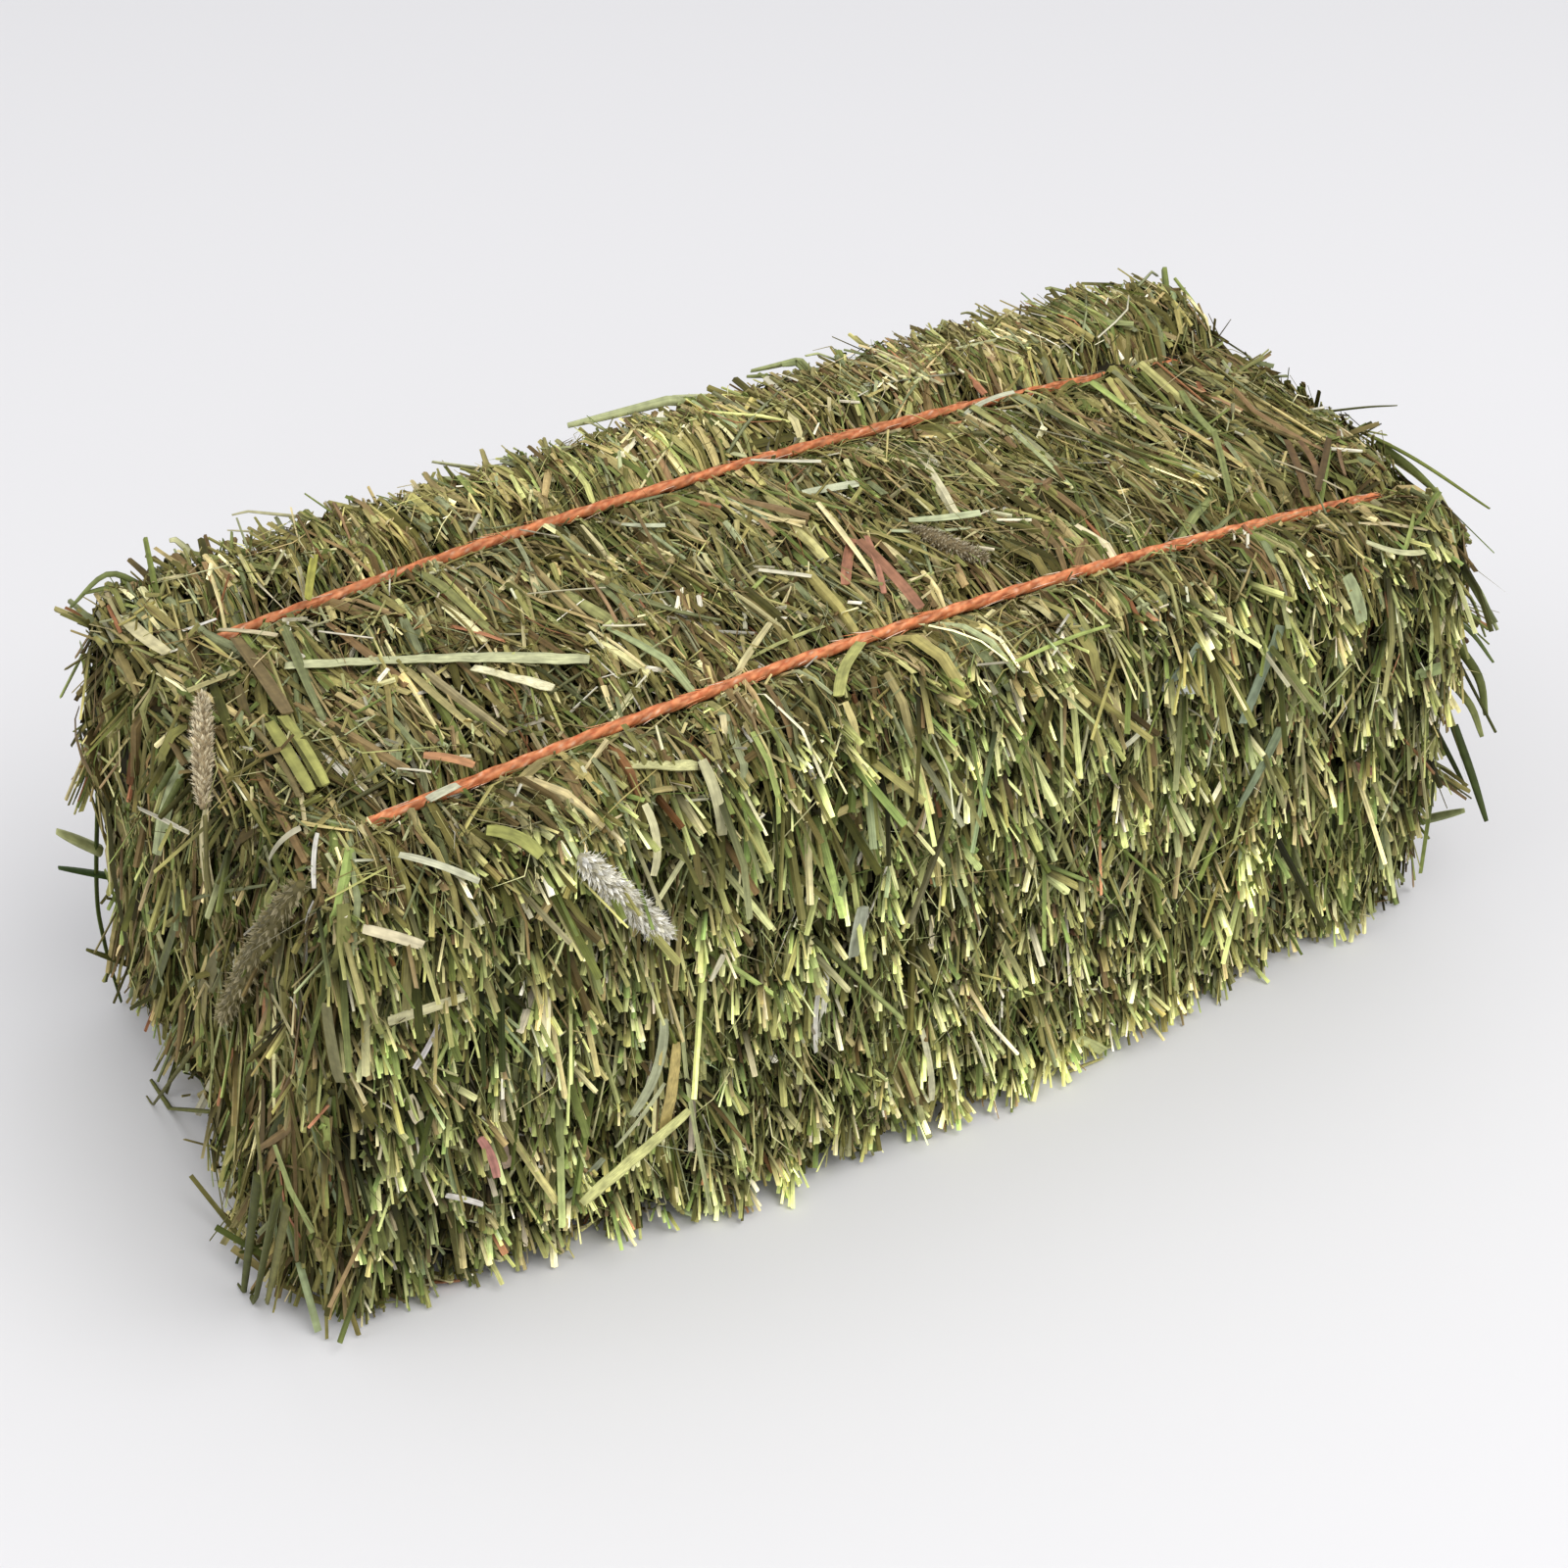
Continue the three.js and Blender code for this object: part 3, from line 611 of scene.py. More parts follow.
leafRecipe = {"rings": 4, "length": (12, 38), "half": (0.5, 1.6), "low": (-4.8, 0.4), "lift": 1.1,
              "arch": 0.4, "kink": 0.45, "bent": 0.12, "ridge": 0.3, "taper": 0.3, "roll": 0.35,
              "mix": "top", "pointed": False, "smooth": False, "reach": 154}
stemRecipe = {**leafRecipe, "half": (0.3, 0.65), "ridge": 0.9, "taper": 0.15, "smooth": True}
hairRecipe = {**leafRecipe, "rings": 3, "length": (8, 28), "half": (0.09, 0.22), "ridge": 0.9,
              "low": (-1.6, 1.0), "arch": 0.8, "kink": 1.2, "bent": 0.5, "pointed": True}
bitRecipe = {**leafRecipe, "rings": 2, "length": (4, 13), "half": (0.35, 1.3), "low": (-3.8, 0.7),
             "arch": 0.0, "lift": 1.5, "roll": 0.6}
stubRecipe = {"rings": 2, "length": (2.8, 10.5), "half": (0.32, 1.05), "low": (-5.5, -0.4), "tuft": 5,
              "lean": (69, 13), "turn": 11, "sag": 0.05, "ridge": 0.4, "taper": 0.1, "roll": 0.8,
              "mix": "cut", "pointed": False, "smooth": False}
longStubRecipe = {**stubRecipe, "rings": 3, "length": (10, 34), "low": (-2.6, -0.4), "lean": (85, 5),
                  "turn": 15, "sag": 0.02, "roll": 0.4, "half": (0.4, 1.3), "tuft": 3}


rootSpan = (-151, 151)  # the long faces take strands between these, along the bale
topSpan = (-66, 66)  # and the top and the ends between these, across it


# Places drawn evenly between limits
def anywhere(dice, count, aLimits, bLimits):
    return dice.uniform(*aLimits, count), dice.uniform(*bLimits, count)


# Strands in locks of about `size`, which share their place, heading (in degrees) and tone. Each is
# off the lock's middle by (along cos h - across sin h, along sin h + across cos h).
def inLocks(dice, count, aLimits, bLimits, size, heading, askew):
    locks = max(1, count // size)
    lock = dice.integers(0, locks, count)
    a, b = anywhere(dice, locks, aLimits, bLimits)
    lean = heading + 9 * swell(np.stack([a, b], -1), (50, 42), 15) + dice.normal(0, askew, locks)
    tone = np.exp(dice.normal(0, 0.18, locks))[lock]
    lean = np.radians(lean[lock] + dice.normal(0, 4, count))
    across, along = dice.normal(0, 2.2, count), dice.normal(0, 5, count)
    a = a[lock] + along * np.cos(lean) - across * np.sin(lean)
    b = b[lock] + along * np.sin(lean) + across * np.cos(lean)
    return a, b, lean, tone


# Leaves and stems lie across the top in locks. A few lie along it.
def coverTop():
    dice = np.random.default_rng(21)
    for recipe, count, size, astray in ((leafRecipe, 5000, 9, 0.04), (stemRecipe, 2800, 10, 0.12),
                                        (bitRecipe, 7200, 4, 0.1), (hairRecipe, 3000, 3, 0.3)):
        a, b, lean, tone = inLocks(dice, count, (-153, 157), topSpan, size, heading=89, askew=9)
        lean = np.where(dice.random(count) < astray, dice.normal(2.5, 0.35, count), lean)
        layStrands(wound, woundRelief, a, b, lean, recipe, dice, tone, clearTwine=True)


# The cut side: short tufts combed down, with some longer stems among them.
def coverFront():
    dice = np.random.default_rng(22)
    for recipe, count, lowest in ((stubRecipe, 4700, 178), (longStubRecipe, 600, 150)):
        a, b = anywhere(dice, count, rootSpan, (60, lowest))
        kept = dice.random(count) > 0.8 * gapAt(a, b)
        combStrands(wound, woundRelief, a[kept], b[kept], recipe, dice)
    for recipe, count in ((stemRecipe, 500), (hairRecipe, 1900)):
        a, b = anywhere(dice, count, (-150, 150), (66, 168))
        lean = np.radians(94 + dice.normal(0, 22, count))
        layStrands(wound, woundRelief, a, b, lean, {**recipe, "mix": "cut"}, dice)


# The back is the folded side: stems lie over it and bend round into the bale.
def coverBack():
    dice = np.random.default_rng(23)
    a, b = anywhere(dice, 1100, rootSpan, (-178, -66))
    tufts = {**stubRecipe, "mix": "top", "length": (5, 14), "tuft": 4}
    combStrands(wound, woundRelief, a, b, tufts, dice)
    folded = {**leafRecipe, "arch": 2.0, "low": (-5, -0.5), "length": (12, 34)}
    for recipe, count in ((folded, 2000), (stemRecipe, 600), (hairRecipe, 400)):
        a, b, lean, tone = inLocks(dice, count, rootSpan, (-172, -66), 7, heading=88, askew=15)
        layStrands(wound, woundRelief, a, b, lean, recipe, dice, tone)


# The underside is a mat pressed flat by the floor.
def coverFoot():
    dice = np.random.default_rng(24)
    flat = {**leafRecipe, "low": (-3.5, -0.4), "lift": 0.2, "arch": 0, "roll": 0.15, "rings": 3}
    for way in (1, -1):
        a, b = anywhere(dice, 1250, rootSpan, (184, 248))
        lean = np.radians(90 + dice.normal(0, 25, len(a)))
        layStrands(wound, lambda x, s: 0 * x, a, way * b, lean, flat, dice, clearTwine=True)
        a, b = anywhere(dice, 200, rootSpan, (166, 184))
        combStrands(wound, woundRelief, a, way * b, {**stubRecipe, "lean": (66, 12)}, dice)


# Long leaves and stems hang down the ends and splay out over the floor. scale is how many there
# are on this end, against the two ends' mean.
def coverEnd(end, seed, scale):
    dice = np.random.default_rng(seed)

    def face(y, t, lift):
        return hung(end, y, t, lift)

    def relief(y, t):
        return hungRelief(end, y, t)

    hanging = {**leafRecipe, "length": (16, 60), "low": (-5, 0.4), "mix": "end", "arch": 0.8,
               "lift": 1.4, "reach": 64, "kink": 0.1, "rings": 3, "from": 31, "grooved": end > 0}
    stalks = {**hanging, "half": (0.3, 0.7), "ridge": 0.9}
    for recipe, count in ((hanging, 1900), (stalks, 1000)):
        a, b, lean, tone = inLocks(dice, int(count * scale), topSpan, (40, 118), 6, heading=91,
                                   askew=14)
        lean = np.where(dice.random(len(a)) < 0.1, dice.uniform(0, np.pi, len(a)), lean)
        layStrands(face, relief, a, b, lean, recipe, dice, tone * 0.86)
    broad = {**hanging, "length": (18, 42), "half": (1.3, 2.5), "low": (-1.6, 1.2), "rings": 5,
             "ridge": 0.12, "kink": 0.5, "bent": 0.6, "taper": 0.5}
    a, b, lean, tone = inLocks(dice, int(95 * scale), (-62, 62), (44, 120), 3, heading=92, askew=16)
    layStrands(face, relief, a, b, lean, broad, dice, tone * 0.74)
    for recipe, count in ((bitRecipe, 1700), (hairRecipe, 600)):
        a, b, lean, tone = inLocks(dice, int(count * scale), topSpan, (20, 136), 3, heading=90,
                                   askew=24)
        small = {**recipe, "mix": "end", "reach": 64, "from": 18, "grooved": end > 0}
        layStrands(face, relief, a, b, lean, small, dice, tone * 0.88)
    a, b = anywhere(dice, int(380 * scale), topSpan, (34, 132))
    low = {**stubRecipe, "mix": "end", "lean": (78, 8), "length": (6, 20)}
    combStrands(face, relief, a, b, low, dice)


# Small chips of leaf and seed that lie on everything
def scatterChaff():
    dice = np.random.default_rng(27)
    chip = {**bitRecipe, "length": (1.2, 3.6), "half": (0.25, 0.6), "low": (-2.6, 0.8), "mix": "chaff"}
    for count, span in ((2800, topSpan), (2800, (66, 176)), (400, (-176, -66))):
        a, b = anywhere(dice, count, rootSpan, span)
        heading = dice.uniform(0, 2 * np.pi, count)
        layStrands(wound, woundRelief, a, b, heading, chip, dice, clearTwine=True)


# Pale cut ends of straw lie loose on the top.
def scatterChips():
    dice = np.random.default_rng(37)
    chip = {**bitRecipe, "length": (3, 10), "half": (0.35, 0.8), "low": (-0.8, 0.9), "mix": "chips"}
    count = 520
    a, b = anywhere(dice, count, (-150, 154), (-66, 76))
    heading = dice.uniform(0, np.pi, count)
    layStrands(wound, woundRelief, a, b, heading, chip, dice, 0.86, clearTwine=True)


# Stems stick out over the far edge of the top: from their root inside it, straight out and a
# little up, root + L t (across cos(rise) + up sin(rise)).
def coverFarEdge():
    dice = np.random.default_rng(28)
    count = 1100
    t = np.linspace(0, 1, 3)
    x, inside = dice.uniform(-151, 155, count), dice.uniform(3, 20, count)
    root = wound(x, -(halfWidth - inside), np.zeros(count))[0]
    root[:, 2] = topAt(x) + 3 * ease(x, 10, 110) + dice.uniform(-8, 2.5, count)
    length = inside + dice.uniform(-1, 5.5, count) + dice.uniform(0, 5, count) * ease(x, -30, 90)
    askew, rise = np.radians(dice.normal(-8, 26, count)), np.radians(dice.normal(5, 8, count))
    way = np.stack([np.sin(askew), np.cos(askew) * np.cos(rise), np.sin(rise)], -1)
    centre = root[:, None] + (length[:, None] * t)[..., None] * way[:, None]
    centre[..., 2] -= (length * np.abs(dice.normal(0, 0.1, count)))[:, None] * t**2
    half = spread(dice, (0.35, 1.5), count)[:, None] * (1 - 0.3 * t)[None]
    tints = drawTints(dice, count, "top")
    up = np.array([0, 0, 1.0])
    stow(strands(centre, up, half, half * 0.4, alongStrand(tints, t, 0.7, 1.1),
                 dice.normal(0, 0.6, (count, 1))))


# Locks of stems that stand out of the block: root and tip of the middle one, and the lock's half
# width. Each stem runs root + (tip - root) t, fans out, and lifts a little on its way.
strayLocks = [
    ((-146, -30, 34), (-172.5, -26, 1), 3.4), ((-146, -46, 30), (-171, -50, 1), 3.4),
    ((-146, 26, 36), (-164, 30, 1), 3), ((-148, 60, 60), (-162, 66, 3), 2),
    ((-149, 62, 92), (-165, 68, 58), 1.8), ((-147, 58, 106), (-158, 75, 115), 1.6),
    ((-147, -56, 40), (-162, -62, 8), 2.4), ((146, -60, 44), (164, -70, 32), 2),
    ((146, -56, 92), (160, -70, 84), 2), ((146, -18, 30), (172.5, -14, 1), 3.2),
    ((146, 34, 34), (169, 40, 1), 3), ((144, -14, 110), (160, -20, 121), 1.7),
    ((143, 24, 110), (161, 26, 120), 1.7), ((141, 58, 108), (152, 66, 124.5), 2),
    ((147, 60, 100), (164, 66, 100), 1.7), ((21, -70, 30), (24, -81.5, 8), 2.6),
    ((-21, -70, 34), (-17, -81, 10), 2.6), ((-78, -68, 30), (-80, -77.5, 9), 2.4),
    ((62, -68, 28), (60, -79, 9), 2.4), ((12, 68, 34), (8, 81.5, 9), 2.6),
    ((-62, 66, 34), (-60, 78.5, 8), 2.4), ((82, 66, 36), (84, 77, 9), 2.4),
    ((-60, 50, 118), (-62, 73.5, 122), 1.7), ((-96, 52, 117), (-97, 75.5, 119), 1.7),
    ((36, 50, 119), (38, 72.5, 123.5), 1.7), ((98, 50, 117), (97, 73.5, 121), 1.7),
]


# About seven stems to each mm of half width. None goes past the plane through the lock's tip.
def addStrays():
    dice = np.random.default_rng(29)
    t = np.linspace(0, 1, 4)
    for root, tip, half in strayLocks:
        count = int(7 * half)
        root, tip = np.array(root, float), np.array(tip, float)
        way = unit(tip - root)
        tip = tip - way * 0.4
        start = root + dice.normal(0, 0.5 * half, (count, 3))
        finish = tip + dice.normal(0, 0.8 * half, (count, 3))
        over = np.maximum(((finish - tip) * way).sum(-1), 0)
        finish -= way * over[:, None]
        share = dice.uniform(0.6, 1, count)[:, None, None]
        centre = start[:, None] + (finish - start)[:, None] * t[None, :, None] * share
        centre[..., 2] += 1.2 * np.sin(np.pi * t)[None]
        width = spread(dice, (0.4, 1.5), count)[:, None] * (1 - 0.35 * t)[None]
        tints = drawTints(dice, count, "end")
        up = np.cross(way, dice.normal(size=3))
        stow(strands(centre, up, width, width * 0.4, alongStrand(tints, t, 0.7, 1.1),
                     dice.normal(0, 0.8, (count, 1))))


# Single leaves and stems that show in the picture: where each starts and ends in it, in its
# pixels, the width in mm and the colour. A group lies on one side of the bale.
marks = {
    "top": {
        "yellowStrip": ((321, 563), (314, 616), 2.0, (170, 168, 70)),
        "twinStripLeft": ((275, 737), (317, 806), 2.8, (164, 164, 84)),
        "twinStripRight": ((288, 731), (331, 802), 3.2, (178, 178, 90)),
        "twinStripLine": ((284, 733), (328, 803), 0.7, (96, 96, 50)),
        "whiteHair": ((186, 640), (221, 634), 0.8, (240, 236, 214)),
        "shortStraw": ((223, 647), (282, 647), 2.0, (222, 208, 158)),
        "paleHair": ((325, 644), (381, 651), 0.8, (232, 224, 190)),
        "cornerHair": ((405, 784), (440, 789), 0.9, (226, 220, 184)),
        "leafOnTwine": ((437, 816), (468, 804), 2.6, (206, 206, 166)),
        "tanLeaf": ((240, 653), (293, 728), 3.6, (134, 116, 80)),
        "strawByTwine": ((774, 583), (828, 588), 1.5, (230, 224, 184)),
        "rustLeafShort": ((870, 551), (863, 599), 2.6, (170, 116, 86)),
        "rustLeafLong": ((876, 554), (940, 621), 2.6, (168, 118, 88)),
        "rustLeafBeside": ((884, 548), (902, 604), 1.6, (184, 128, 96)),
        "hairOverBack": ((766, 468), (838, 471), 1.4, (214, 210, 176)),
        "paleCrossBack": ((985, 424), (1035, 398), 1.5, (200, 202, 164)),
        "spearOne": ((819, 505), (876, 494), 2.2, (206, 210, 166)),
        "spearTwo": ((927, 535), (1000, 527), 2.0, (196, 204, 150)),
        "spearThree": ((908, 546), (991, 540), 1.4, (190, 198, 146)),
        "limeLeaf": ((879, 660), (854, 707), 3.0, (184, 184, 100)),
        "greyLeaf": ((621, 596), (736, 634), 2.6, (130, 134, 88)),
        "paleByBack": ((530, 538), (575, 548), 1.4, (230, 222, 184)),
        "strawDot": ((615, 639), (659, 639), 1.0, (226, 218, 176)),
        "strawLine": ((538, 605), (618, 601), 1.0, (224, 216, 170)),
        "greenSpear": ((634, 535), (679, 537), 1.8, (192, 196, 154)),
        "yellowSpear": ((643, 676), (685, 650), 1.4, (198, 202, 136)),
        "farLeaf": ((883, 377), (975, 371), 2.8, (194, 198, 164)),
        "farGreen": ((1096, 322), (1157, 328), 2.6, (166, 174, 104)),
        "longOlive": ((1060, 410), (1175, 470), 3.0, (120, 124, 76)),
        "paleStreak": ((1050, 437), (1112, 452), 1.2, (208, 204, 166)),
        "rightPale": ((1205, 480), (1238, 486), 1.8, (206, 208, 164)),
        "rightThin": ((1300, 470), (1370, 500), 0.9, (198, 186, 140)),
        "deadLeaf": ((1312, 452), (1334, 506), 2.2, (120, 94, 66)),
        "deadLeafBeside": ((1326, 450), (1346, 500), 1.6, (138, 108, 78)),
        "deadLeafSmall": ((1356, 446), (1344, 500), 1.8, (104, 84, 62)),
        "deadLeafThin": ((1366, 440), (1372, 486), 1.2, (146, 118, 88)),
        "whiteStemTop": ((324, 852), (321, 908), 1.0, (232, 228, 206)),
        "crossStalk": ((258, 743), (305, 812), 1.6, (140, 126, 86)),
        "curvedStem": ((1205, 400), (1238, 440), 1.8, (150, 160, 92)),
        "curvedStemFoot": ((1238, 438), (1256, 512), 1.8, (144, 152, 88)),
        "salmonLeaf": ((432, 769), (484, 783), 2.0, (196, 142, 92)),
    },
    "front": {
        "limeStrip": ((495, 839), (554, 881), 3.0, (162, 164, 82)),
        "paleStrip": ((406, 865), (492, 912), 1.8, (212, 212, 170)),
        "creamTube": ((372, 954), (433, 967), 2.3, (234, 222, 172)),
        "creamStick": ((396, 1040), (474, 1016), 2.6, (222, 216, 156)),
        "whiteLeaf": ((419, 1083), (447, 1040), 2.0, (240, 234, 218)),
        "strawUpright": ((658, 823), (669, 896), 1.8, (230, 224, 164)),
        "strawSlant": ((710, 852), (670, 928), 1.8, (222, 220, 154)),
        "paleLeaf": ((737, 973), (725, 1002), 2.4, (224, 218, 176)),
        "seedHusk": ((417, 1117), (431, 1145), 3.0, (228, 216, 168)),
        "peachHusk": ((508, 1142), (518, 1190), 3.0, (238, 208, 168)),
        "pinkHusk": ((492, 1164), (501, 1193), 2.0, (194, 134, 112)),
        "greyGreenLeaf": ((575, 1219), (613, 1180), 3.0, (140, 146, 112)),
        "greenUpright": ((645, 1139), (678, 1040), 2.3, (178, 182, 136)),
        "greenSlant": ((626, 1168), (680, 1107), 1.1, (190, 192, 140)),
        "longUpright": ((693, 1024), (717, 1225), 1.2, (182, 186, 122)),
        "footStraw": ((460, 1222), (495, 1231), 1.5, (230, 224, 202)),
        "footStick": ((607, 1268), (669, 1264), 1.0, (182, 182, 104)),
        "oliveLeaf": ((350, 922), (320, 989), 3.0, (146, 146, 82)),
        "hangingTip": ((716, 776), (735, 850), 2.6, (198, 194, 140)),
        "blueLeafHigh": ((1304, 638), (1267, 738), 4.2, (138, 152, 118)),
        "blueLeafLow": ((1307, 743), (1262, 822), 3.6, (132, 146, 108)),
        "blueLeafLeft": ((1225, 662), (1186, 694), 4.4, (142, 156, 126)),
        "whiteFleck": ((1183, 698), (1216, 695), 2.6, (222, 226, 210)),
        "creamUpright": ((1249, 717), (1233, 782), 1.9, (206, 206, 160)),
        "yellowUpright": ((1086, 810), (1108, 738), 2.4, (206, 204, 148)),
        "thinSlant": ((1144, 762), (1173, 733), 1.3, (210, 208, 164)),
        "palePatch": ((1373, 596), (1388, 634), 3.6, (172, 182, 126)),
        "cutTube": ((1447, 694), (1470, 685), 3.2, (152, 166, 104)),
        "redHusk": ((1378, 780), (1400, 786), 2.8, (150, 104, 82)),
        "highPale": ((1394, 556), (1452, 567), 1.8, (210, 210, 152)),
        "whiteSplinters": ((835, 1060), (846, 990), 1.6, (214, 212, 180)),
        "whiteSplinterTwo": ((829, 1070), (838, 1010), 1.2, (220, 216, 190)),
        "paleFan": ((948, 1120), (942, 1050), 1.6, (210, 206, 160)),
        "seedCluster": ((880, 925), (866, 972), 3.6, (180, 184, 150)),
        "lowHusk": ((1150, 1060), (1098, 1056), 3.0, (176, 180, 110)),
    },
    "left": {
        "creamStub": ((116, 627), (176, 658), 3.3, (228, 218, 158)),
        "paleChip": ((161, 818), (195, 849), 1.3, (212, 206, 170)),
        "paleChipLow": ((276, 881), (317, 843), 1.6, (206, 200, 160)),
        "whiteStem": ((321, 914), (305, 989), 1.0, (228, 224, 200)),
        "curvedStemEnd": ((158, 784), (116, 919), 2.0, (122, 130, 76)),
        "brownBlade": ((243, 660), (262, 740), 2.2, (112, 98, 66)),
        "oliveBlade": ((196, 900), (158, 1010), 2.6, (104, 108, 68)),
        "greyHeadStem": ((300, 905), (330, 1085), 1.4, (128, 122, 84)),
        "duskLeafHigh": ((313, 897), (238, 966), 4.4, (128, 122, 84)),
        "duskLeafLow": ((306, 932), (258, 1064), 3.8, (122, 118, 80)),
        "duskLeafSide": ((242, 958), (206, 1022), 4.0, (116, 110, 74)),
        "duskLeafCorner": ((334, 985), (342, 1052), 3.0, (138, 134, 92)),
    },
}
markPlanes = {"top": (2, 120.5), "front": (1, -70.5), "left": (0, -155)}
markLift = {"top": (1.6, 2.4), "front": (2.6, 4.4), "left": (1.6, 3.4)}


# Each mark is a folded leaf of eight rings, in 0.82 of its colour and 0.06 of that colour's grey.
# It lies straight, a lift above the mean of the relief that it crosses. Its ends are found by
# meeting the lines of sight with a plane that is moved to the face there, a few times over.
def addMarks():
    dice = np.random.default_rng(30)
    t = np.linspace(0, 1, 8)
    ring = t[None]
    topLine = halfWidth - bale["topRadius"] * (2 - np.pi / 2)
    for side, rows in marks.items():
        rows = list(rows.values())
        coordinate, level = markPlanes[side]
        lift = np.array([dice.uniform(*markLift[side]) for row in rows])[:, None]

        def face(p, q, height):
            return hung(-1, p, q, height) if side == "left" else wound(p, q, height)

        def relief(p, q):
            return hungRelief(-1, p, q) if side == "left" else woundRelief(p, q)

        for _ in range(6):
            ends = met([row[:2] for row in rows], coordinate, level)
            x, y, z = ends[..., 0], ends[..., 1], ends[..., 2]
            a, b = {
                "top": (x, -y),
                "front": (x, topLine + topAt(x) - z),
                "left": (y, endLine - z),
            }[side]
            level = (level + face(a, b, relief(a, b) + lift)[0][..., coordinate]) / 2
        wayA, wayB = (v[:, :1] * (1 - ring) + v[:, 1:] * ring for v in (a, b))
        bow = dice.normal(0, 0.03, (len(rows), 1)) * 4 * ring * (1 - ring)
        wayA, wayB = wayA + bow * (b[:, 1:] - b[:, :1]), wayB - bow * (a[:, 1:] - a[:, :1])
        height = relief(wayA, wayB)
        line = height[:, :1] * (1 - ring) + height[:, -1:] * ring
        height = (line + height.mean(axis=1, keepdims=True)) / 2
        centre, outward, _ = face(wayA, wayB, height + lift)
        half = np.array([row[2] / 2 for row in rows])[:, None] * (1 - 0.15 * (2 * ring - 1) ** 6)
        tints = linear([row[3] for row in rows])
        tints = 0.82 * tints + 0.06 * tints.mean(axis=-1, keepdims=True)
        tints = tints[:, None] * (0.9 + 0.16 * ring[..., None])
        roll = dice.normal(0, 0.2, (len(rows), 1)) + dice.normal(0, 0.25, (len(rows), 1)) * ring
        stow(strands(centre, outward, half, half * 0.12 + 0.08, tints, roll, corners=6, fold=0.3))


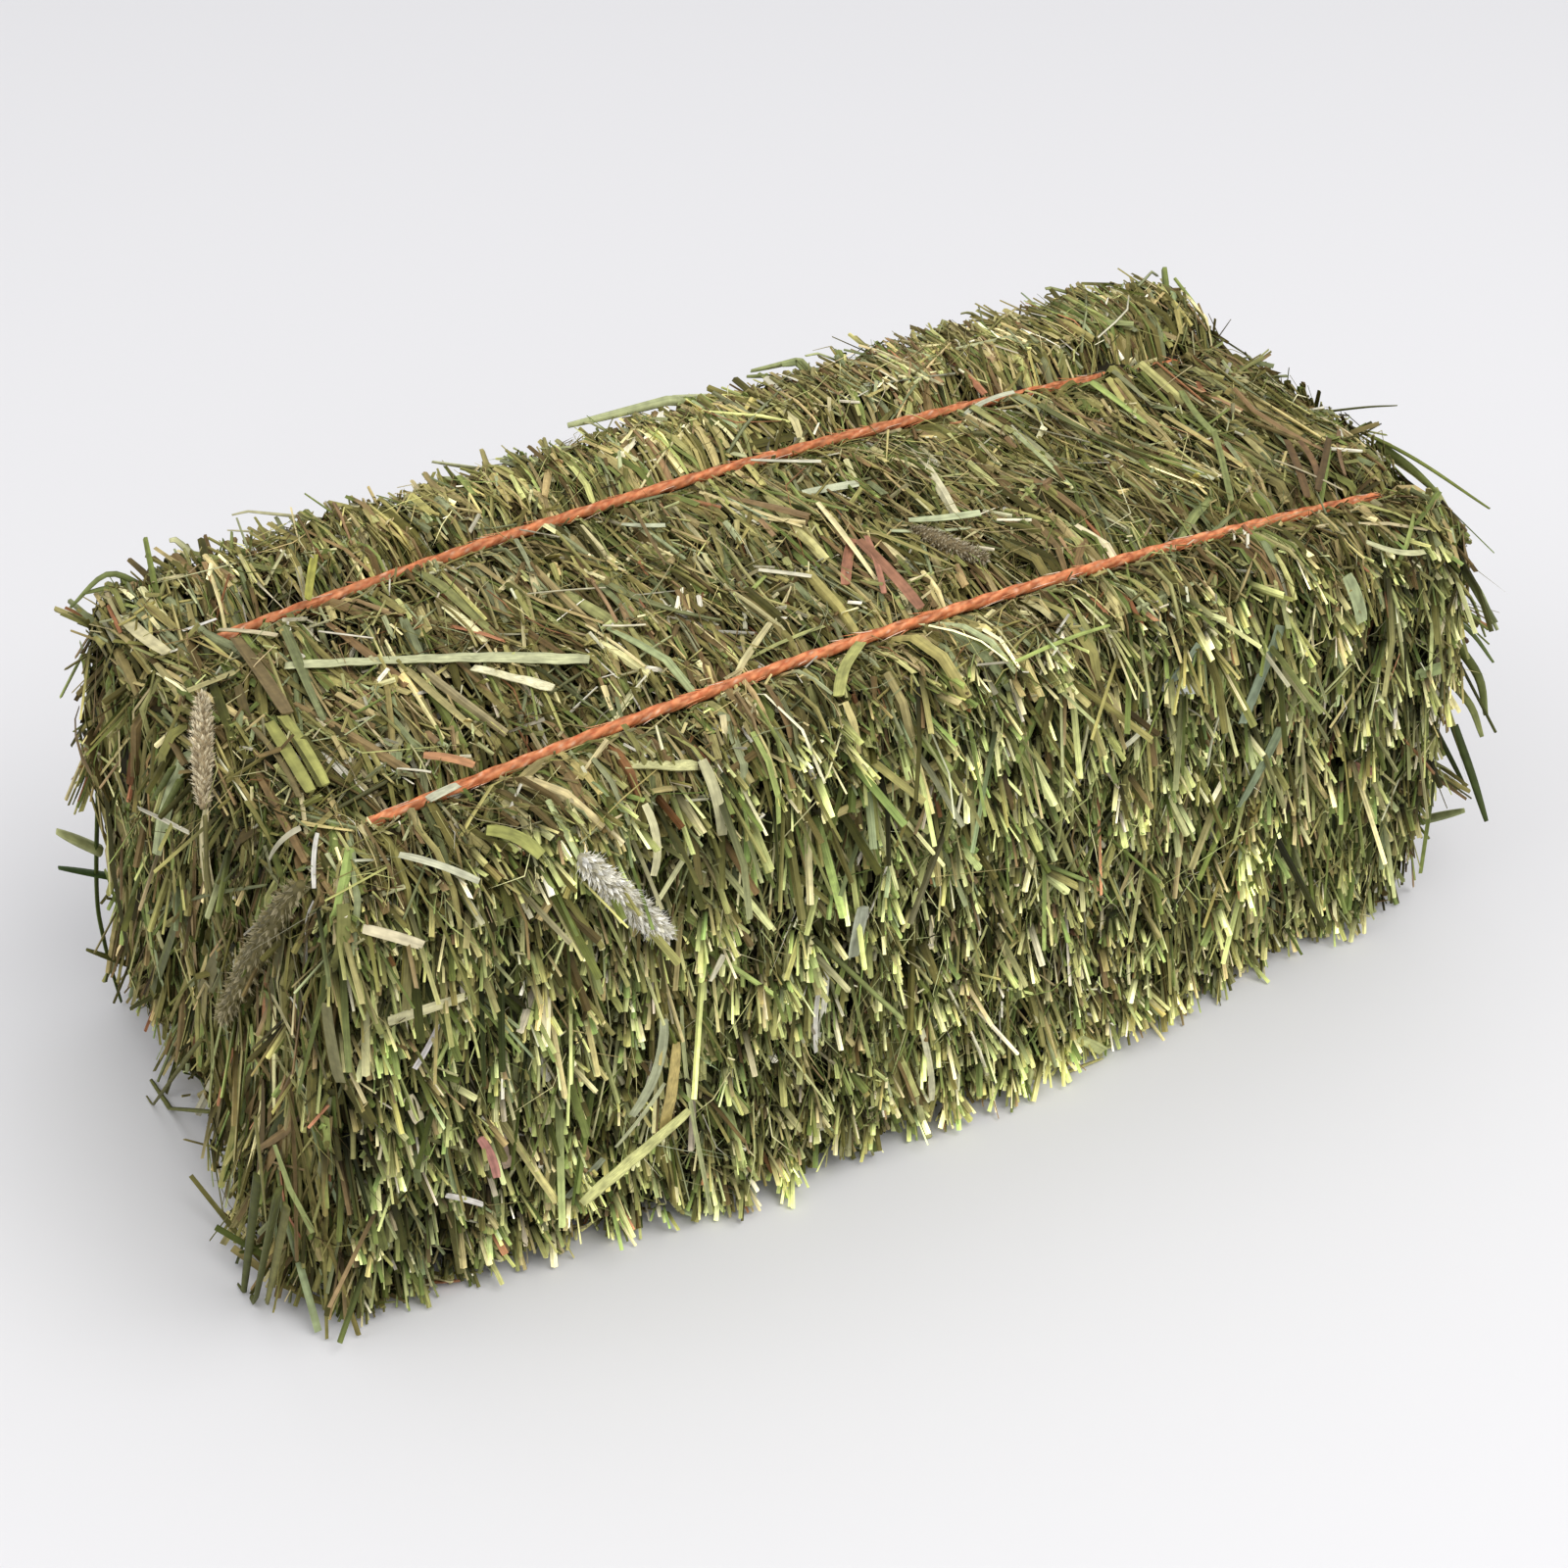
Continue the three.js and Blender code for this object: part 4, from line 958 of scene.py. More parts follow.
# Stems that stand out of the outline in the picture: their bends in it, in its pixels, the upright
# plane that they lie on (its coordinate, 0 for x or 1 for y, and level), the width in mm and the
# colour.
spurs = {
    "paleLeafBack": (((770, 428), (692, 409), (579, 416)), 1, 71, 2.8, (188, 194, 138)),
    "paleLeafBackTwo": (((776, 411), (735, 404), (687, 404)), 1, 72, 2.2, (196, 200, 148)),
    "paleLeafBackThree": (((775, 432), (730, 420), (692, 412)), 1, 69, 2.4, (170, 180, 118)),
    "creamStemBack": (((710, 444), (646, 437)), 1, 68, 2.0, (206, 204, 166)),
    "oliveStemBack": (((648, 455), (596, 428)), 1, 70, 1.8, (170, 170, 118)),
    "paleStemLeft": (((575, 492), (500, 480), (441, 471)), 1, 71, 1.8, (190, 192, 146)),
    "paleStemLeftTwo": (((540, 496), (452, 488)), 1, 71, 2.0, (176, 182, 130)),
    "greenStemLeft": (((500, 512), (452, 496)), 1, 70, 2.2, (150, 160, 104)),
    "leftHairOne": (((330, 530), (236, 520)), 1, 71, 0.9, (190, 186, 140)),
    "leftHairTwo": (((320, 545), (232, 541)), 1, 71, 0.8, (196, 190, 146)),
    "leftPaleLeaf": (((222, 590), (172, 544)), 1, 68, 2.2, (206, 206, 152)),
    "leftPaleLeafTwo": (((262, 580), (184, 566)), 1, 68, 1.8, (196, 198, 150)),
    "leftDarkArc": (((150, 600), (110, 586), (72, 620)), 1, 66, 1.6, (130, 140, 88)),
    "leftDarkArcTwo": (((160, 612), (118, 600), (84, 606)), 1, 66, 1.6, (108, 116, 70)),
    "fanStemWide": (((852, 408), (805, 358), (767, 332)), 1, 73, 2.6, (166, 174, 116)),
    "fanStemTwo": (((846, 410), (798, 352)), 1, 72, 2.4, (156, 166, 108)),
    "fanStemThree": (((900, 400), (862, 372), (822, 356)), 1, 73, 1.8, (176, 182, 124)),
    "fanHair": (((880, 388), (830, 333)), 1, 74, 0.6, (172, 164, 118)),
    "fanStemFour": (((830, 412), (790, 386), (762, 384)), 1, 72, 1.8, (140, 148, 94)),
    "farBits": (((942, 378), (908, 351)), 1, 73, 2.6, (128, 140, 84)),
    "farBitsTwo": (((955, 372), (925, 350)), 1, 73, 2.0, (110, 118, 72)),
    "farOlive": (((1042, 352), (981, 313)), 1, 73, 1.7, (172, 172, 118)),
    "farOliveTwo": (((1062, 345), (1010, 318)), 1, 73, 2.0, (132, 140, 88)),
    "farOliveThree": (((1165, 318), (1115, 305), (1067, 292)), 1, 74, 1.8, (160, 166, 106)),
    "farOliveFour": (((1135, 330), (1108, 297)), 1, 74, 2.6, (140, 148, 96)),
    "farOliveFive": (((1185, 322), (1150, 296)), 1, 73, 2.2, (150, 156, 104)),
    "broadUpright": (((1183, 372), (1181, 330), (1174, 295)), 0, 148, 3.6, (132, 146, 112)),
    "limeUpright": (((1202, 335), (1196, 288)), 0, 150, 2.6, (166, 182, 124)),
    "oliveUpright": (((1215, 352), (1208, 304)), 0, 151, 1.8, (120, 124, 82)),
    "thinUpright": (((1224, 360), (1219, 313)), 0, 152, 1.3, (134, 134, 92)),
    "twigOne": (((1256, 368), (1233, 320)), 0, 156, 0.8, (96, 84, 60)),
    "twigTwo": (((1228, 366), (1256, 326)), 0, 156, 0.8, (102, 90, 64)),
    "darkStemRight": (((1331, 423), (1390, 416), (1425, 414)), 0, 160, 1.6, (116, 118, 74)),
    "longStemRight": (((1367, 430), (1440, 466), (1520, 519)), 0, 164, 1.5, (126, 136, 70)),
    "wideStemRight": (((1404, 454), (1438, 478), (1467, 504)), 0, 164, 3.2, (150, 160, 92)),
    "yellowHanging": (((1464, 498), (1486, 540), (1491, 576)), 0, 166, 2.2, (202, 202, 130)),
    "darkUnderRight": (((1416, 464), (1424, 503), (1488, 556)), 0, 163, 1.5, (110, 112, 62)),
    "tuftRightOne": (((1452, 560), (1500, 590), (1528, 643)), 0, 165, 1.8, (168, 176, 120)),
    "tuftRightTwo": (((1458, 585), (1498, 606), (1516, 650)), 0, 165, 2.0, (152, 160, 104)),
    "hairRight": (((1440, 600), (1530, 625)), 0, 165, 0.6, (176, 168, 116)),
    "greenRight": (((1470, 620), (1502, 646), (1524, 676)), 0, 166, 1.8, (110, 124, 78)),
    "sideBulkOne": (((1480, 650), (1508, 690), (1516, 730)), 0, 165, 2.6, (120, 128, 78)),
    "sideBulkTwo": (((1475, 690), (1500, 720), (1512, 752)), 0, 165, 2.8, (140, 146, 88)),
    "darkBladeRight": (((1484, 740), (1502, 790), (1517, 838)), 0, 167, 3.2, (70, 82, 46)),
    "darkBladeRightTwo": (((1466, 745), (1484, 780), (1498, 808)), 0, 166, 3.0, (66, 76, 44)),
    "paleStubRight": (((1446, 838), (1494, 827)), 0, 164, 2.6, (156, 164, 108)),
    "footStub": (((1085, 1088), (1119, 1140)), 1, -76, 1.6, (186, 180, 110)),
    "footLeafOne": (((935, 1120), (950, 1172)), 1, -78, 1.8, (170, 170, 112)),
    "footLeafTwo": (((1050, 1090), (1040, 1135)), 1, -77, 3.4, (176, 178, 116)),
    "wideFootBlade": (((283, 1215), (258, 1338)), 0, -171, 3.4, (96, 100, 60)),
    "footBladeTwo": (((292, 1230), (272, 1330)), 0, -170, 2.4, (120, 118, 72)),
    "footBladeThree": (((262, 1200), (246, 1335)), 0, -172, 2.6, (84, 88, 52)),
    "footStemOne": (((205, 1060), (152, 1133)), 0, -166, 1.3, (120, 118, 70)),
    "footStemTwo": (((232, 1150), (216, 1268)), 1, -68, 1.4, (124, 120, 72)),
    "longDarkStem": (((102, 728), (98, 897), (106, 960), (124, 1024)), 1, 66, 2.2, (84, 98, 50)),
    "paleStubLeft": (((104, 868), (58, 848)), 1, 66, 3.4, (186, 190, 128)),
    "darkStubLeft": (((128, 898), (60, 886)), 1, 66, 3.2, (64, 84, 48)),
    "brownStubLeft": (((104, 780), (81, 783)), 1, 66, 2.2, (116, 86, 42)),
    "oliveStubLeft": (((144, 989), (88, 969)), 1, 64, 1.8, (100, 100, 56)),
    "lowStubLeft": (((215, 1135), (158, 1130)), 0, -163, 1.6, (96, 98, 58)),
    "headStalk": (((209, 832), (214, 905), (237, 985)), 0, -159.5, 1.1, (140, 134, 88)),
    "arcOne": (((176, 784), (146, 840), (118, 915)), 0, -157.4, 2.2, (136, 146, 84)),
    "arcTwo": (((184, 796), (158, 850), (132, 925)), 0, -157.8, 2.0, (126, 136, 76)),
    "flatCross": (((155, 930), (215, 912), (270, 903)), 0, -157.2, 2.6, (112, 116, 82)),
}


# Each spur is a tube along a curve through its bends, half a width (1 - 0.5 t^3) wide to each side.
def addSpurs():
    dice = np.random.default_rng(31)
    for bends, coordinate, level, width, colour in spurs.values():
        path = curved(met(bends, coordinate, level), 2.2)[0]
        t = np.linspace(0, 1, len(path))
        half = width / 2 * (1 - 0.5 * t**3)[None]
        tints = 0.9 * linear(colour) * (0.85 + 0.2 * t)[None, :, None]
        up = unit(np.cross(path[-1] - path[0], dice.normal(size=3)))
        stow(strands(path[None], up, half, half * 0.4, tints, corners=6, fold=0.2, smooth=True))


# A curve through its knots, sampled at about equal steps. From knot p to knot q it is
# (2 p + (q - o) u + (2 o - 5 p + 4 q - r) u^2 + (3 p - o - 3 q + r) u^3) / 2, where o and r are the
# knots before and after them.
def curved(knots, step, looped=False):
    knots = np.asarray(knots, float)
    if looped:
        wide = np.concatenate([knots[-1:], knots, knots[:2]])
    else:
        wide = np.concatenate([2 * knots[:1] - knots[1:2], knots, 2 * knots[-1:] - knots[-2:-1]])
    u = np.linspace(0, 1, 24, endpoint=False)[None, :, None]
    o, p, q, r = (wide[k:len(wide) - 3 + k, None] for k in range(4))
    fine = 2 * p + (q - o) * u + (2 * o - 5 * p + 4 * q - r) * u**2 + (3 * p - o - 3 * q + r) * u**3
    fine = np.concatenate([fine.reshape(-1, 3) / 2, knots[:1] if looped else knots[-1:]])
    way = np.concatenate([[0], np.cumsum(np.linalg.norm(np.diff(fine, axis=0), axis=1))])
    count = max(3, int(round(way[-1] / step)))
    at = np.linspace(0, way[-1], count + 1)
    path = np.stack([np.interp(at, way, fine[:, k]) for k in range(3)], -1)
    return (path[:-1], way[-1]) if looped else (path, way[-1])


goldenAngle = 2.39996


# A grass seed head: a spindle along its path, husks set round it at the golden angle and two
# bristles by each husk. A husk runs root + L t (out cos(lean) + forward sin(lean)).
def headTubes(knots, radius, husks, tones, dice):
    path = curved(knots, 0.7)[0]
    rings = len(path)
    t = np.linspace(0, 1, rings)
    body = radius * (0.72 * np.sin(np.pi * (0.06 + 0.9 * t)) ** 0.6)
    up = np.array([0.3, 0.2, 1.0])
    side, rise = framed(path[None], up, np.zeros((1, rings)))
    tone = linear(tones)
    tubes = [strands(path[None], up, body[None], body[None], tone[0], corners=8, smooth=True)]
    share = np.linspace(0.01, 0.97, husks)
    ring = share * (rings - 1)
    nearest = np.clip(ring.round().astype(int), 0, rings - 1)
    forward = unit(np.gradient(path, axis=0))[nearest]
    turn = goldenAngle * np.arange(husks)
    out = side[0][nearest] * np.cos(turn)[:, None] + rise[0][nearest] * np.sin(turn)[:, None]
    root = path[nearest] + out * (body[nearest] * 0.8)[:, None]
    lean = np.radians(dice.normal(48, 9, husks))[:, None]
    way = out * np.cos(lean) + forward * np.sin(lean)
    u = np.array([0, 0.45, 1])
    long = radius * dice.uniform(0.5, 0.68, husks)
    centre = root[:, None] + (long[:, None] * u)[..., None] * way[:, None]
    half = radius * np.array([0.09, 0.15, 0.02])[None] * dice.uniform(0.8, 1.25, (husks, 1))
    tints = tone[dice.integers(0, len(tones), husks)] * np.exp(dice.normal(0, 0.16, (husks, 1)))
    tubes.append(strands(centre, out[:, None], half, half * 0.6, alongStrand(tints, u, 0.6, 1.2),
                         pointed=True))
    long = radius * dice.uniform(0.5, 0.95, 2 * husks)
    start = np.repeat(root, 2, axis=0)
    way = unit(np.repeat(way, 2, axis=0) + dice.normal(0, 0.3, (2 * husks, 3)))
    centre = start[:, None] + (long[:, None] * u)[..., None] * way[:, None]
    tints = np.broadcast_to(tone[-1], (2 * husks, 3)) * 1.1
    tubes.append(strands(centre, np.repeat(out, 2, axis=0)[:, None], 0.07, 0.07, tints[:, None],
                         pointed=True))
    return tubes


# A dull seed head lies slanted on the left end: its bends in the picture, in its pixels, and the x
# of each of them.
panicle = {"bends": ((307, 902), (282, 934), (252, 990), (226, 1042)),
           "x": (-157, -158.5, -160, -161), "radius": 3.6, "husks": 230,
           "tones": ((106, 98, 66), (128, 118, 82), (146, 136, 98), (162, 152, 114))}


def addPanicle():
    dice = np.random.default_rng(38)
    knots = met(panicle["bends"], 0, np.array(panicle["x"]))
    for tubes in headTubes(knots, panicle["radius"], panicle["husks"], panicle["tones"], dice):
        stow(tubes)


# A tube that has a band of the map to itself, from its rings' points and tints
def broadTube(points, tints, rings, corners, looped=False):
    return {
        "points": points.reshape(1, -1, 3),
        "tints": tints.reshape(1, -1, 3),
        "pattern": (rings, corners, False, looped),
        "smooth": True,
        "broad": True,
    }


# The pressed inside of each flake, seen as shadow between the strands: the wound strip, this much
# below the relief, closed at its two faces.
core = {
    "depth": 6.6,
    "corners": 120,
    "gap": 0.15,
    "floor": 1.2,
    "tint": (32, 27, 10),
    "inset": 9,  # the strip ends this far inside an end of the bale
    "middle": (0, 0, 60),  # an end's cap narrows to here, by these shares
    "capRings": (1, 0.86, 0.6, 0.3),
    "capDepth": 5,  # below the bale's end in the cap's middle
    "capEdge": 7,  # and this much more at its edge
}


# The cap of an end stands at half length - edge share^4 - depth, and on the left it flares as well.
def addCores():
    way = np.linspace(0, 1, core["corners"], endpoint=False)
    for number in range(bale["flakes"]):
        low = -halfLength + number * flakePitch + core["gap"]
        high = low + flakePitch - 2 * core["gap"]
        lowest, highest = number == 0, number == bale["flakes"] - 1
        x = np.linspace(low + core["inset"] * lowest, high - core["inset"] * highest, 5)
        x, turn = np.meshgrid(x, way, indexing="ij")
        r = np.where(turn < 0.5, bale["topRadius"], bale["farRadius"])
        rounding = r + bale["footRadius"]
        half = 2 * halfWidth + topAt(x) - rounding * (2 - np.pi / 2)
        s = (1 - 2 * turn) * half * 0.999
        relief = woundRelief(x, s)
        rings = wound(x, s, relief - core["depth"])[0]
        rings[..., 2] = np.maximum(rings[..., 2], core["floor"])
        for end in [-1] * lowest + [1] * highest:
            edge = rings[0 if end < 0 else -1]
            middle = np.array(core["middle"])
            caps = []
            for share in core["capRings"]:
                ring = middle + (edge - middle) * share
                out = halfLength - core["capEdge"] * share**4 - core["capDepth"]
                out = out + lowest * flareAt(end, ring[:, 1], ring[:, 2])
                caps.append(np.stack([end * out, ring[:, 1], ring[:, 2]], -1))
            caps = np.array(caps)
            rings = np.concatenate([caps[::-1], rings] if end < 0 else [rings, caps])
        tints = np.broadcast_to(linear(core["tint"]), rings.shape)
        flakeTubes[number].append(broadTube(rings, tints, len(rings), core["corners"]))


print("stage: surfaces")
coverTop()
coverFront()
coverBack()
coverFoot()
coverEnd(-1, seed=25, scale=1.1)
coverEnd(1, seed=26, scale=0.9)
scatterChaff()
scatterChips()
coverFarEdge()
addStrays()
addMarks()
addSpurs()
addPanicle()
addCores()


# Materials

# A node with its inputs, or else its own settings, at these values
def addNode(tree, kind, **values):
    node = tree.nodes.new(kind)
    for name, value in values.items():
        if name in node.inputs:
            node.inputs[name].default_value = value
        else:
            setattr(node, name, value)
    return node


# The middle part of a noise, spread from low to high
def noiseRange(tree, low, high):
    limits = {"From Min": 0.3, "From Max": 0.7, "To Min": low, "To Max": high}
    return addNode(tree, "ShaderNodeMapRange", **limits)


# Hay: the strand's own tint, streaked along the strand and mottled, with a ribbed bump. grain is
# how often the streaks change over the map, along and across the strands.
def hayMaterial(name, roughness, grain=(90, 900, 1)):
    material = bpy.data.materials.new(name)
    material.use_nodes = True
    tree = material.node_tree
    shader = tree.nodes["Principled BSDF"]
    tint = addNode(tree, "ShaderNodeAttribute", attribute_name="strawTint")
    place = addNode(tree, "ShaderNodeUVMap", uv_map="OFBake")
    stretch = addNode(tree, "ShaderNodeMapping", Scale=grain)
    streak = addNode(tree, "ShaderNodeTexNoise", Scale=1.0, Detail=2.0, Roughness=0.6)
    mottle = addNode(tree, "ShaderNodeTexNoise", Scale=420.0, Detail=2.0)
    where = addNode(tree, "ShaderNodeTexCoord")
    light = noiseRange(tree, 0.72, 1.28)
    patch = noiseRange(tree, 0.82, 1.18)
    both = addNode(tree, "ShaderNodeMath", operation="MULTIPLY")
    scaled = addNode(tree, "ShaderNodeVectorMath", operation="SCALE")
    limits = {"To Min": roughness - 0.12, "To Max": roughness + 0.18}
    rough = addNode(tree, "ShaderNodeMapRange", **limits)
    bump = addNode(tree, "ShaderNodeBump", Strength=0.5, Distance=0.0002)
    link = tree.links.new
    link(place.outputs["UV"], stretch.inputs["Vector"])
    link(stretch.outputs["Vector"], streak.inputs["Vector"])
    link(where.outputs["Object"], mottle.inputs["Vector"])
    link(streak.outputs["Fac"], light.inputs["Value"])
    link(mottle.outputs["Fac"], patch.inputs["Value"])
    link(light.outputs["Result"], both.inputs[0])
    link(patch.outputs["Result"], both.inputs[1])
    link(tint.outputs["Color"], scaled.inputs[0])
    link(both.outputs["Value"], scaled.inputs["Scale"])
    link(scaled.outputs["Vector"], shader.inputs["Base Color"])
    link(streak.outputs["Fac"], rough.inputs["Value"])
    link(rough.outputs["Result"], shader.inputs["Roughness"])
    link(streak.outputs["Fac"], bump.inputs["Height"])
    link(bump.outputs["Normal"], shader.inputs["Normal"])
    shader.inputs["Specular IOR Level"].default_value = 0.22
    return material


pressedHay = hayMaterial("pressedHay", 0.66)

print("stage: flake meshes")
triangles = []
for number in range(bale["flakes"]):
    title = f"{number + 1:02d}"
    replaced = [f"flake_{title}"]
    triangles.append(pieceOf(f"hay_flake_{title}", flakeTubes[number], pressedHay, replaced))
print("triangles in the flakes:", triangles, sum(triangles))


# The route of a twine's centre round the bale: over the top, where it bites deeper towards the
# ends, round both ends in quarter circles, and along the floor.
def twineRoute(y):
    edge, r = twine["endX"], twine["corner"]
    foot = 0.8 * r

    def bent(x, z, size, start):
        turn = start + np.linspace(0, np.pi / 2, 5)
        return [(x + size * np.cos(a), y, z + size * np.sin(a)) for a in turn]

    def sunkTop(x):
        return topAt(x) - twine["sunk"] - twine["bite"] * (x / halfLength) ** 2

    ends = sunkTop(edge - r) - r
    floor = twine["floor"]
    return ([(edge, y, twine["knotZ"])] + bent(edge - r, ends, r, 0)
            + [(x, y, sunkTop(x)) for x in twine["overTop"]]
            + bent(r - edge, ends, r, np.pi / 2)
            + [(-edge, y, z) for z in twine["downEnd"]]
            + bent(foot - edge, floor + foot, foot, np.pi)
            + [(x, y, floor) for x in twine["underFoot"]]
            + bent(edge - foot, floor + foot, foot, 1.5 * np.pi)
            + [(edge, y, twine["downEnd"][-1])])


# The twine's tones, darkest first; the last and palest is a painted glint
twineTonesAndGlint = linear([(196, 106, 66), (224, 140, 92), (236, 164, 118), (246, 216, 192)])


# Three strands laid together: the radius at the angle a is radius (0.92 + 0.08 cos(3 b)), where
# b = a - 2 pi turns t goes round with the lay. Fibres of other tones follow b, the palest of them a
# painted glint, and the grooves between the strands are darker as painted shade.
def laidTwine(path, length, radius, looped, dice, corners=15):
    rings = len(path)
    t = (np.arange(rings) / rings)[:, None]
    a = (2 * np.pi * np.arange(corners) / corners)[None]
    b = a - 2 * np.pi * round(length / twine["lay"]) * t
    size = radius * (0.92 + 0.08 * np.cos(3 * b))
    before, after = np.roll(path, 1, axis=0), np.roll(path, -1, axis=0)
    if not looped:
        before, after = np.concatenate([path[:1], path[:-1]]), np.concatenate([path[1:], path[-1:]])
    forward = unit(after - before)
    up = np.array([0, 1.0, 0] if looped else [0.02, 0.01, 1.0])
    side = unit(np.cross(forward, up))
    rise = np.cross(side, forward)
    points = path[:, None] + size[..., None] * (
        side[:, None] * np.cos(a)[..., None] + rise[:, None] * np.sin(a)[..., None])
    # Fibre lines in the twine's tones, where the palest is a painted glint
    fibreAndGlint = np.sin(9 * b + dice.uniform(0, 6)) * np.sin(14 * b + 40 * t + dice.uniform(0, 6))
    # Painted shade: the twine is darker in the grooves between its strands
    grooveShade = ease(np.cos(3 * b), -1, 0.2)
    mix = np.clip(0.35 + 0.3 * fibreAndGlint + dice.normal(0, 0.22, b.shape), 0, 1) * 2.6
    low = np.clip(mix.astype(int), 0, 2)
    share = (mix - low)[..., None]
    tints = twineTonesAndGlint[low] * (1 - share) + twineTonesAndGlint[low + 1] * share
    # painted shade in the grooves
    tints = tints * (0.78 + 0.22 * grooveShade)[..., None]
    return broadTube(points, tints, rings, corners, looped)


# The knot is a trefoil: x = -half sin 3 u, y = half (sin u + 2 sin 2 u) / 2.8 and
# z = half (cos u - 2 cos 2 u) / 3. The tails end in loose fibres, and others stand off all along
# the twine: root + L t forward + off t^1.5 radial.
def addTwine(name, replaced, y, seed, material, tone):
    dice = np.random.default_rng(seed)
    path, length = curved(twineRoute(y), twine["step"], looped=True)
    tubes = [laidTwine(path, length, twine["radius"], True, dice)]
    u = np.linspace(0, 2 * np.pi, 60, endpoint=False)
    halfX, halfY, halfZ = twine["knot"]
    knotX = twine["knotX"] - halfX * np.sin(3 * u)
    knotY = y + halfY * (np.sin(u) + 2 * np.sin(2 * u)) / 2.8
    knotZ = twine["knotZ"] + halfZ * (np.cos(u) - 2 * np.cos(2 * u)) / 3
    knot = np.stack([knotX, knotY, knotZ], -1)
    tubes.append(laidTwine(knot, twine["knotLine"], 0.85 * twine["radius"], True, dice, corners=9))
    frayed = twine["frayed"]
    for lean in (-1, 1):
        tail = [(x, y + off * lean, z) for x, off, z in twine["tail"]]
        cut, cutLength = curved(tail, twine["step"])
        tubes.append(laidTwine(cut, cutLength, twine["tailRadius"], False, dice, corners=9))
        t = np.linspace(0, 1, 4)
        root = cut[-3] + dice.normal(0, 0.5, (frayed, 3))
        way = unit(np.array([0, 0.25 * lean, -1]) + dice.normal(0, 0.22, (frayed, 3)))
        long = dice.uniform(3, 6, (frayed, 1))
        loose = root[:, None] + (long * t)[..., None] * way[:, None]
        tubes.append(strands(loose, np.array([1.0, 0, 0]), 0.16, 0.16, twineTonesAndGlint[2], pointed=True))
    count = twine["fuzz"]
    at = dice.integers(4, len(path) - 8, count)
    forward = unit(path[at + 4] - path[at])
    t = np.linspace(0, 1, 4)
    radial = unit(np.cross(forward, dice.normal(size=(count, 3))))
    long, off = dice.uniform(3, 8, (count, 1)), dice.uniform(0.2, 1.3, (count, 1))
    root = path[at] + radial * 0.92 * twine["radius"]
    fuzz = root[:, None] + (long * t)[..., None] * forward[:, None]
    fuzz = fuzz + (off * t**1.5)[..., None] * radial[:, None]
    tints = twineTonesAndGlint[dice.integers(1, 4, count)][:, None]
    tubes.append(strands(fuzz, radial[:, None], 0.09, 0.09, tints, pointed=True))
    for tube in tubes:
        tube["tints"] = tube["tints"] * tone
    return pieceOf(name, tubes, material, [replaced])


# Loose leaves on the hay: the path, half width and half thickness, colour and fold
looseStraw = {
    "ribbed_leaf": {"replaces": "long_blade",
                    "path": ((-126, 15, 119.8), (-92, -5, 122), (-69, -20, 122.6)),
                    "half": 1.9, "thick": 0.35, "colour": (190, 192, 150), "fold": 0.25},
    "pale_spear": {"replaces": "side_blade", "path": ((-92, -9, 121.8), (-81, -26, 122.6)),
                   "half": 1.5, "thick": 0.35, "colour": (232, 226, 186), "fold": 0.3},
    "folded_leaf": {"replaces": "bent_blade", "path": ((-80, -56, 120), (-66, -62.5, 118.8)),
                    "half": 1.7, "thick": 0.4, "colour": (196, 194, 140), "fold": 0.4},
    "leaning_leaf": {"replaces": "front_blade_low", "path": ((-104, -76.5, 23), (-77, -77.5, 39)),
                     "half": 1.5, "thick": 0.4, "colour": (206, 206, 138), "fold": 0.3},
    "tan_leaf": {"replaces": "front_blade_high",
                 "path": ((-83, -76, 33), (-80, -75, 45), (-78, -73.5, 56)),
                 "half": 1.4, "thick": 0.4, "colour": (182, 164, 104), "fold": 0.3},
}

# A round stem, with a knot near its thick end that is darker just past it
strawStem = {"path": ((-45, -71, 100), (-26, -72, 103.5), (-7, -71, 105.5)), "half": 0.85,
             "wider": 0.25, "knot": 0.35, "knotAt": 0.93, "darkAt": 0.95, "spread": 0.02,
             "colour": (168, 156, 102)}


# A leaf's half width is half (1 - 0.3 (2 t - 1)^8), and the stem's is
# half + wider t + knot e^-((t - knotAt) / spread)^2.
def addLooseStraw(material):
    dice = np.random.default_rng(34)
    made = []
    for name, recipe in looseStraw.items():
        path, length = curved(recipe["path"], 1.2)
        t = np.linspace(0, 1, len(path))
        way = (t * length)[:, None]
        path = path + 0.07 * np.stack([swell(way, (9,), 40 + k) for k in range(3)], -1)
        half = recipe["half"] * (1 - 0.3 * (2 * t - 1) ** 8)
        roll = 0.15 * np.sin(5 * t)[None]
        tints = linear(recipe["colour"]) * (0.94 + 0.1 * dice.random((len(path), 1)))
        up = np.array([0, 0, 1.0]) if path[0, 2] > 100 else np.array([0, -1.0, 0.2])
        leaf = strands(path[None], up, half[None], recipe["thick"], tints[None], roll, corners=12,
                       fold=recipe["fold"], smooth=True)
        leaf["broad"] = True
        made.append(pieceOf(name, [leaf], material, [recipe["replaces"]]))
    path = curved(strawStem["path"], 0.8)[0]
    t = np.linspace(0, 1, len(path))
    knot, dark = (np.exp(-(((t - strawStem[at]) / strawStem["spread"]) ** 2))
                  for at in ("knotAt", "darkAt"))
    half = strawStem["half"] + strawStem["wider"] * t + strawStem["knot"] * knot
    tints = linear(strawStem["colour"]) * (1 - 0.4 * dark)[:, None]
    stem = strands(path[None], np.array([0, 0, 1.0]), half[None], half[None], tints[None], corners=12,
                   smooth=True)
    stem["broad"] = True
    made.append(pieceOf("knotted_stem", [stem], material, ["straw_stem"]))
    return made


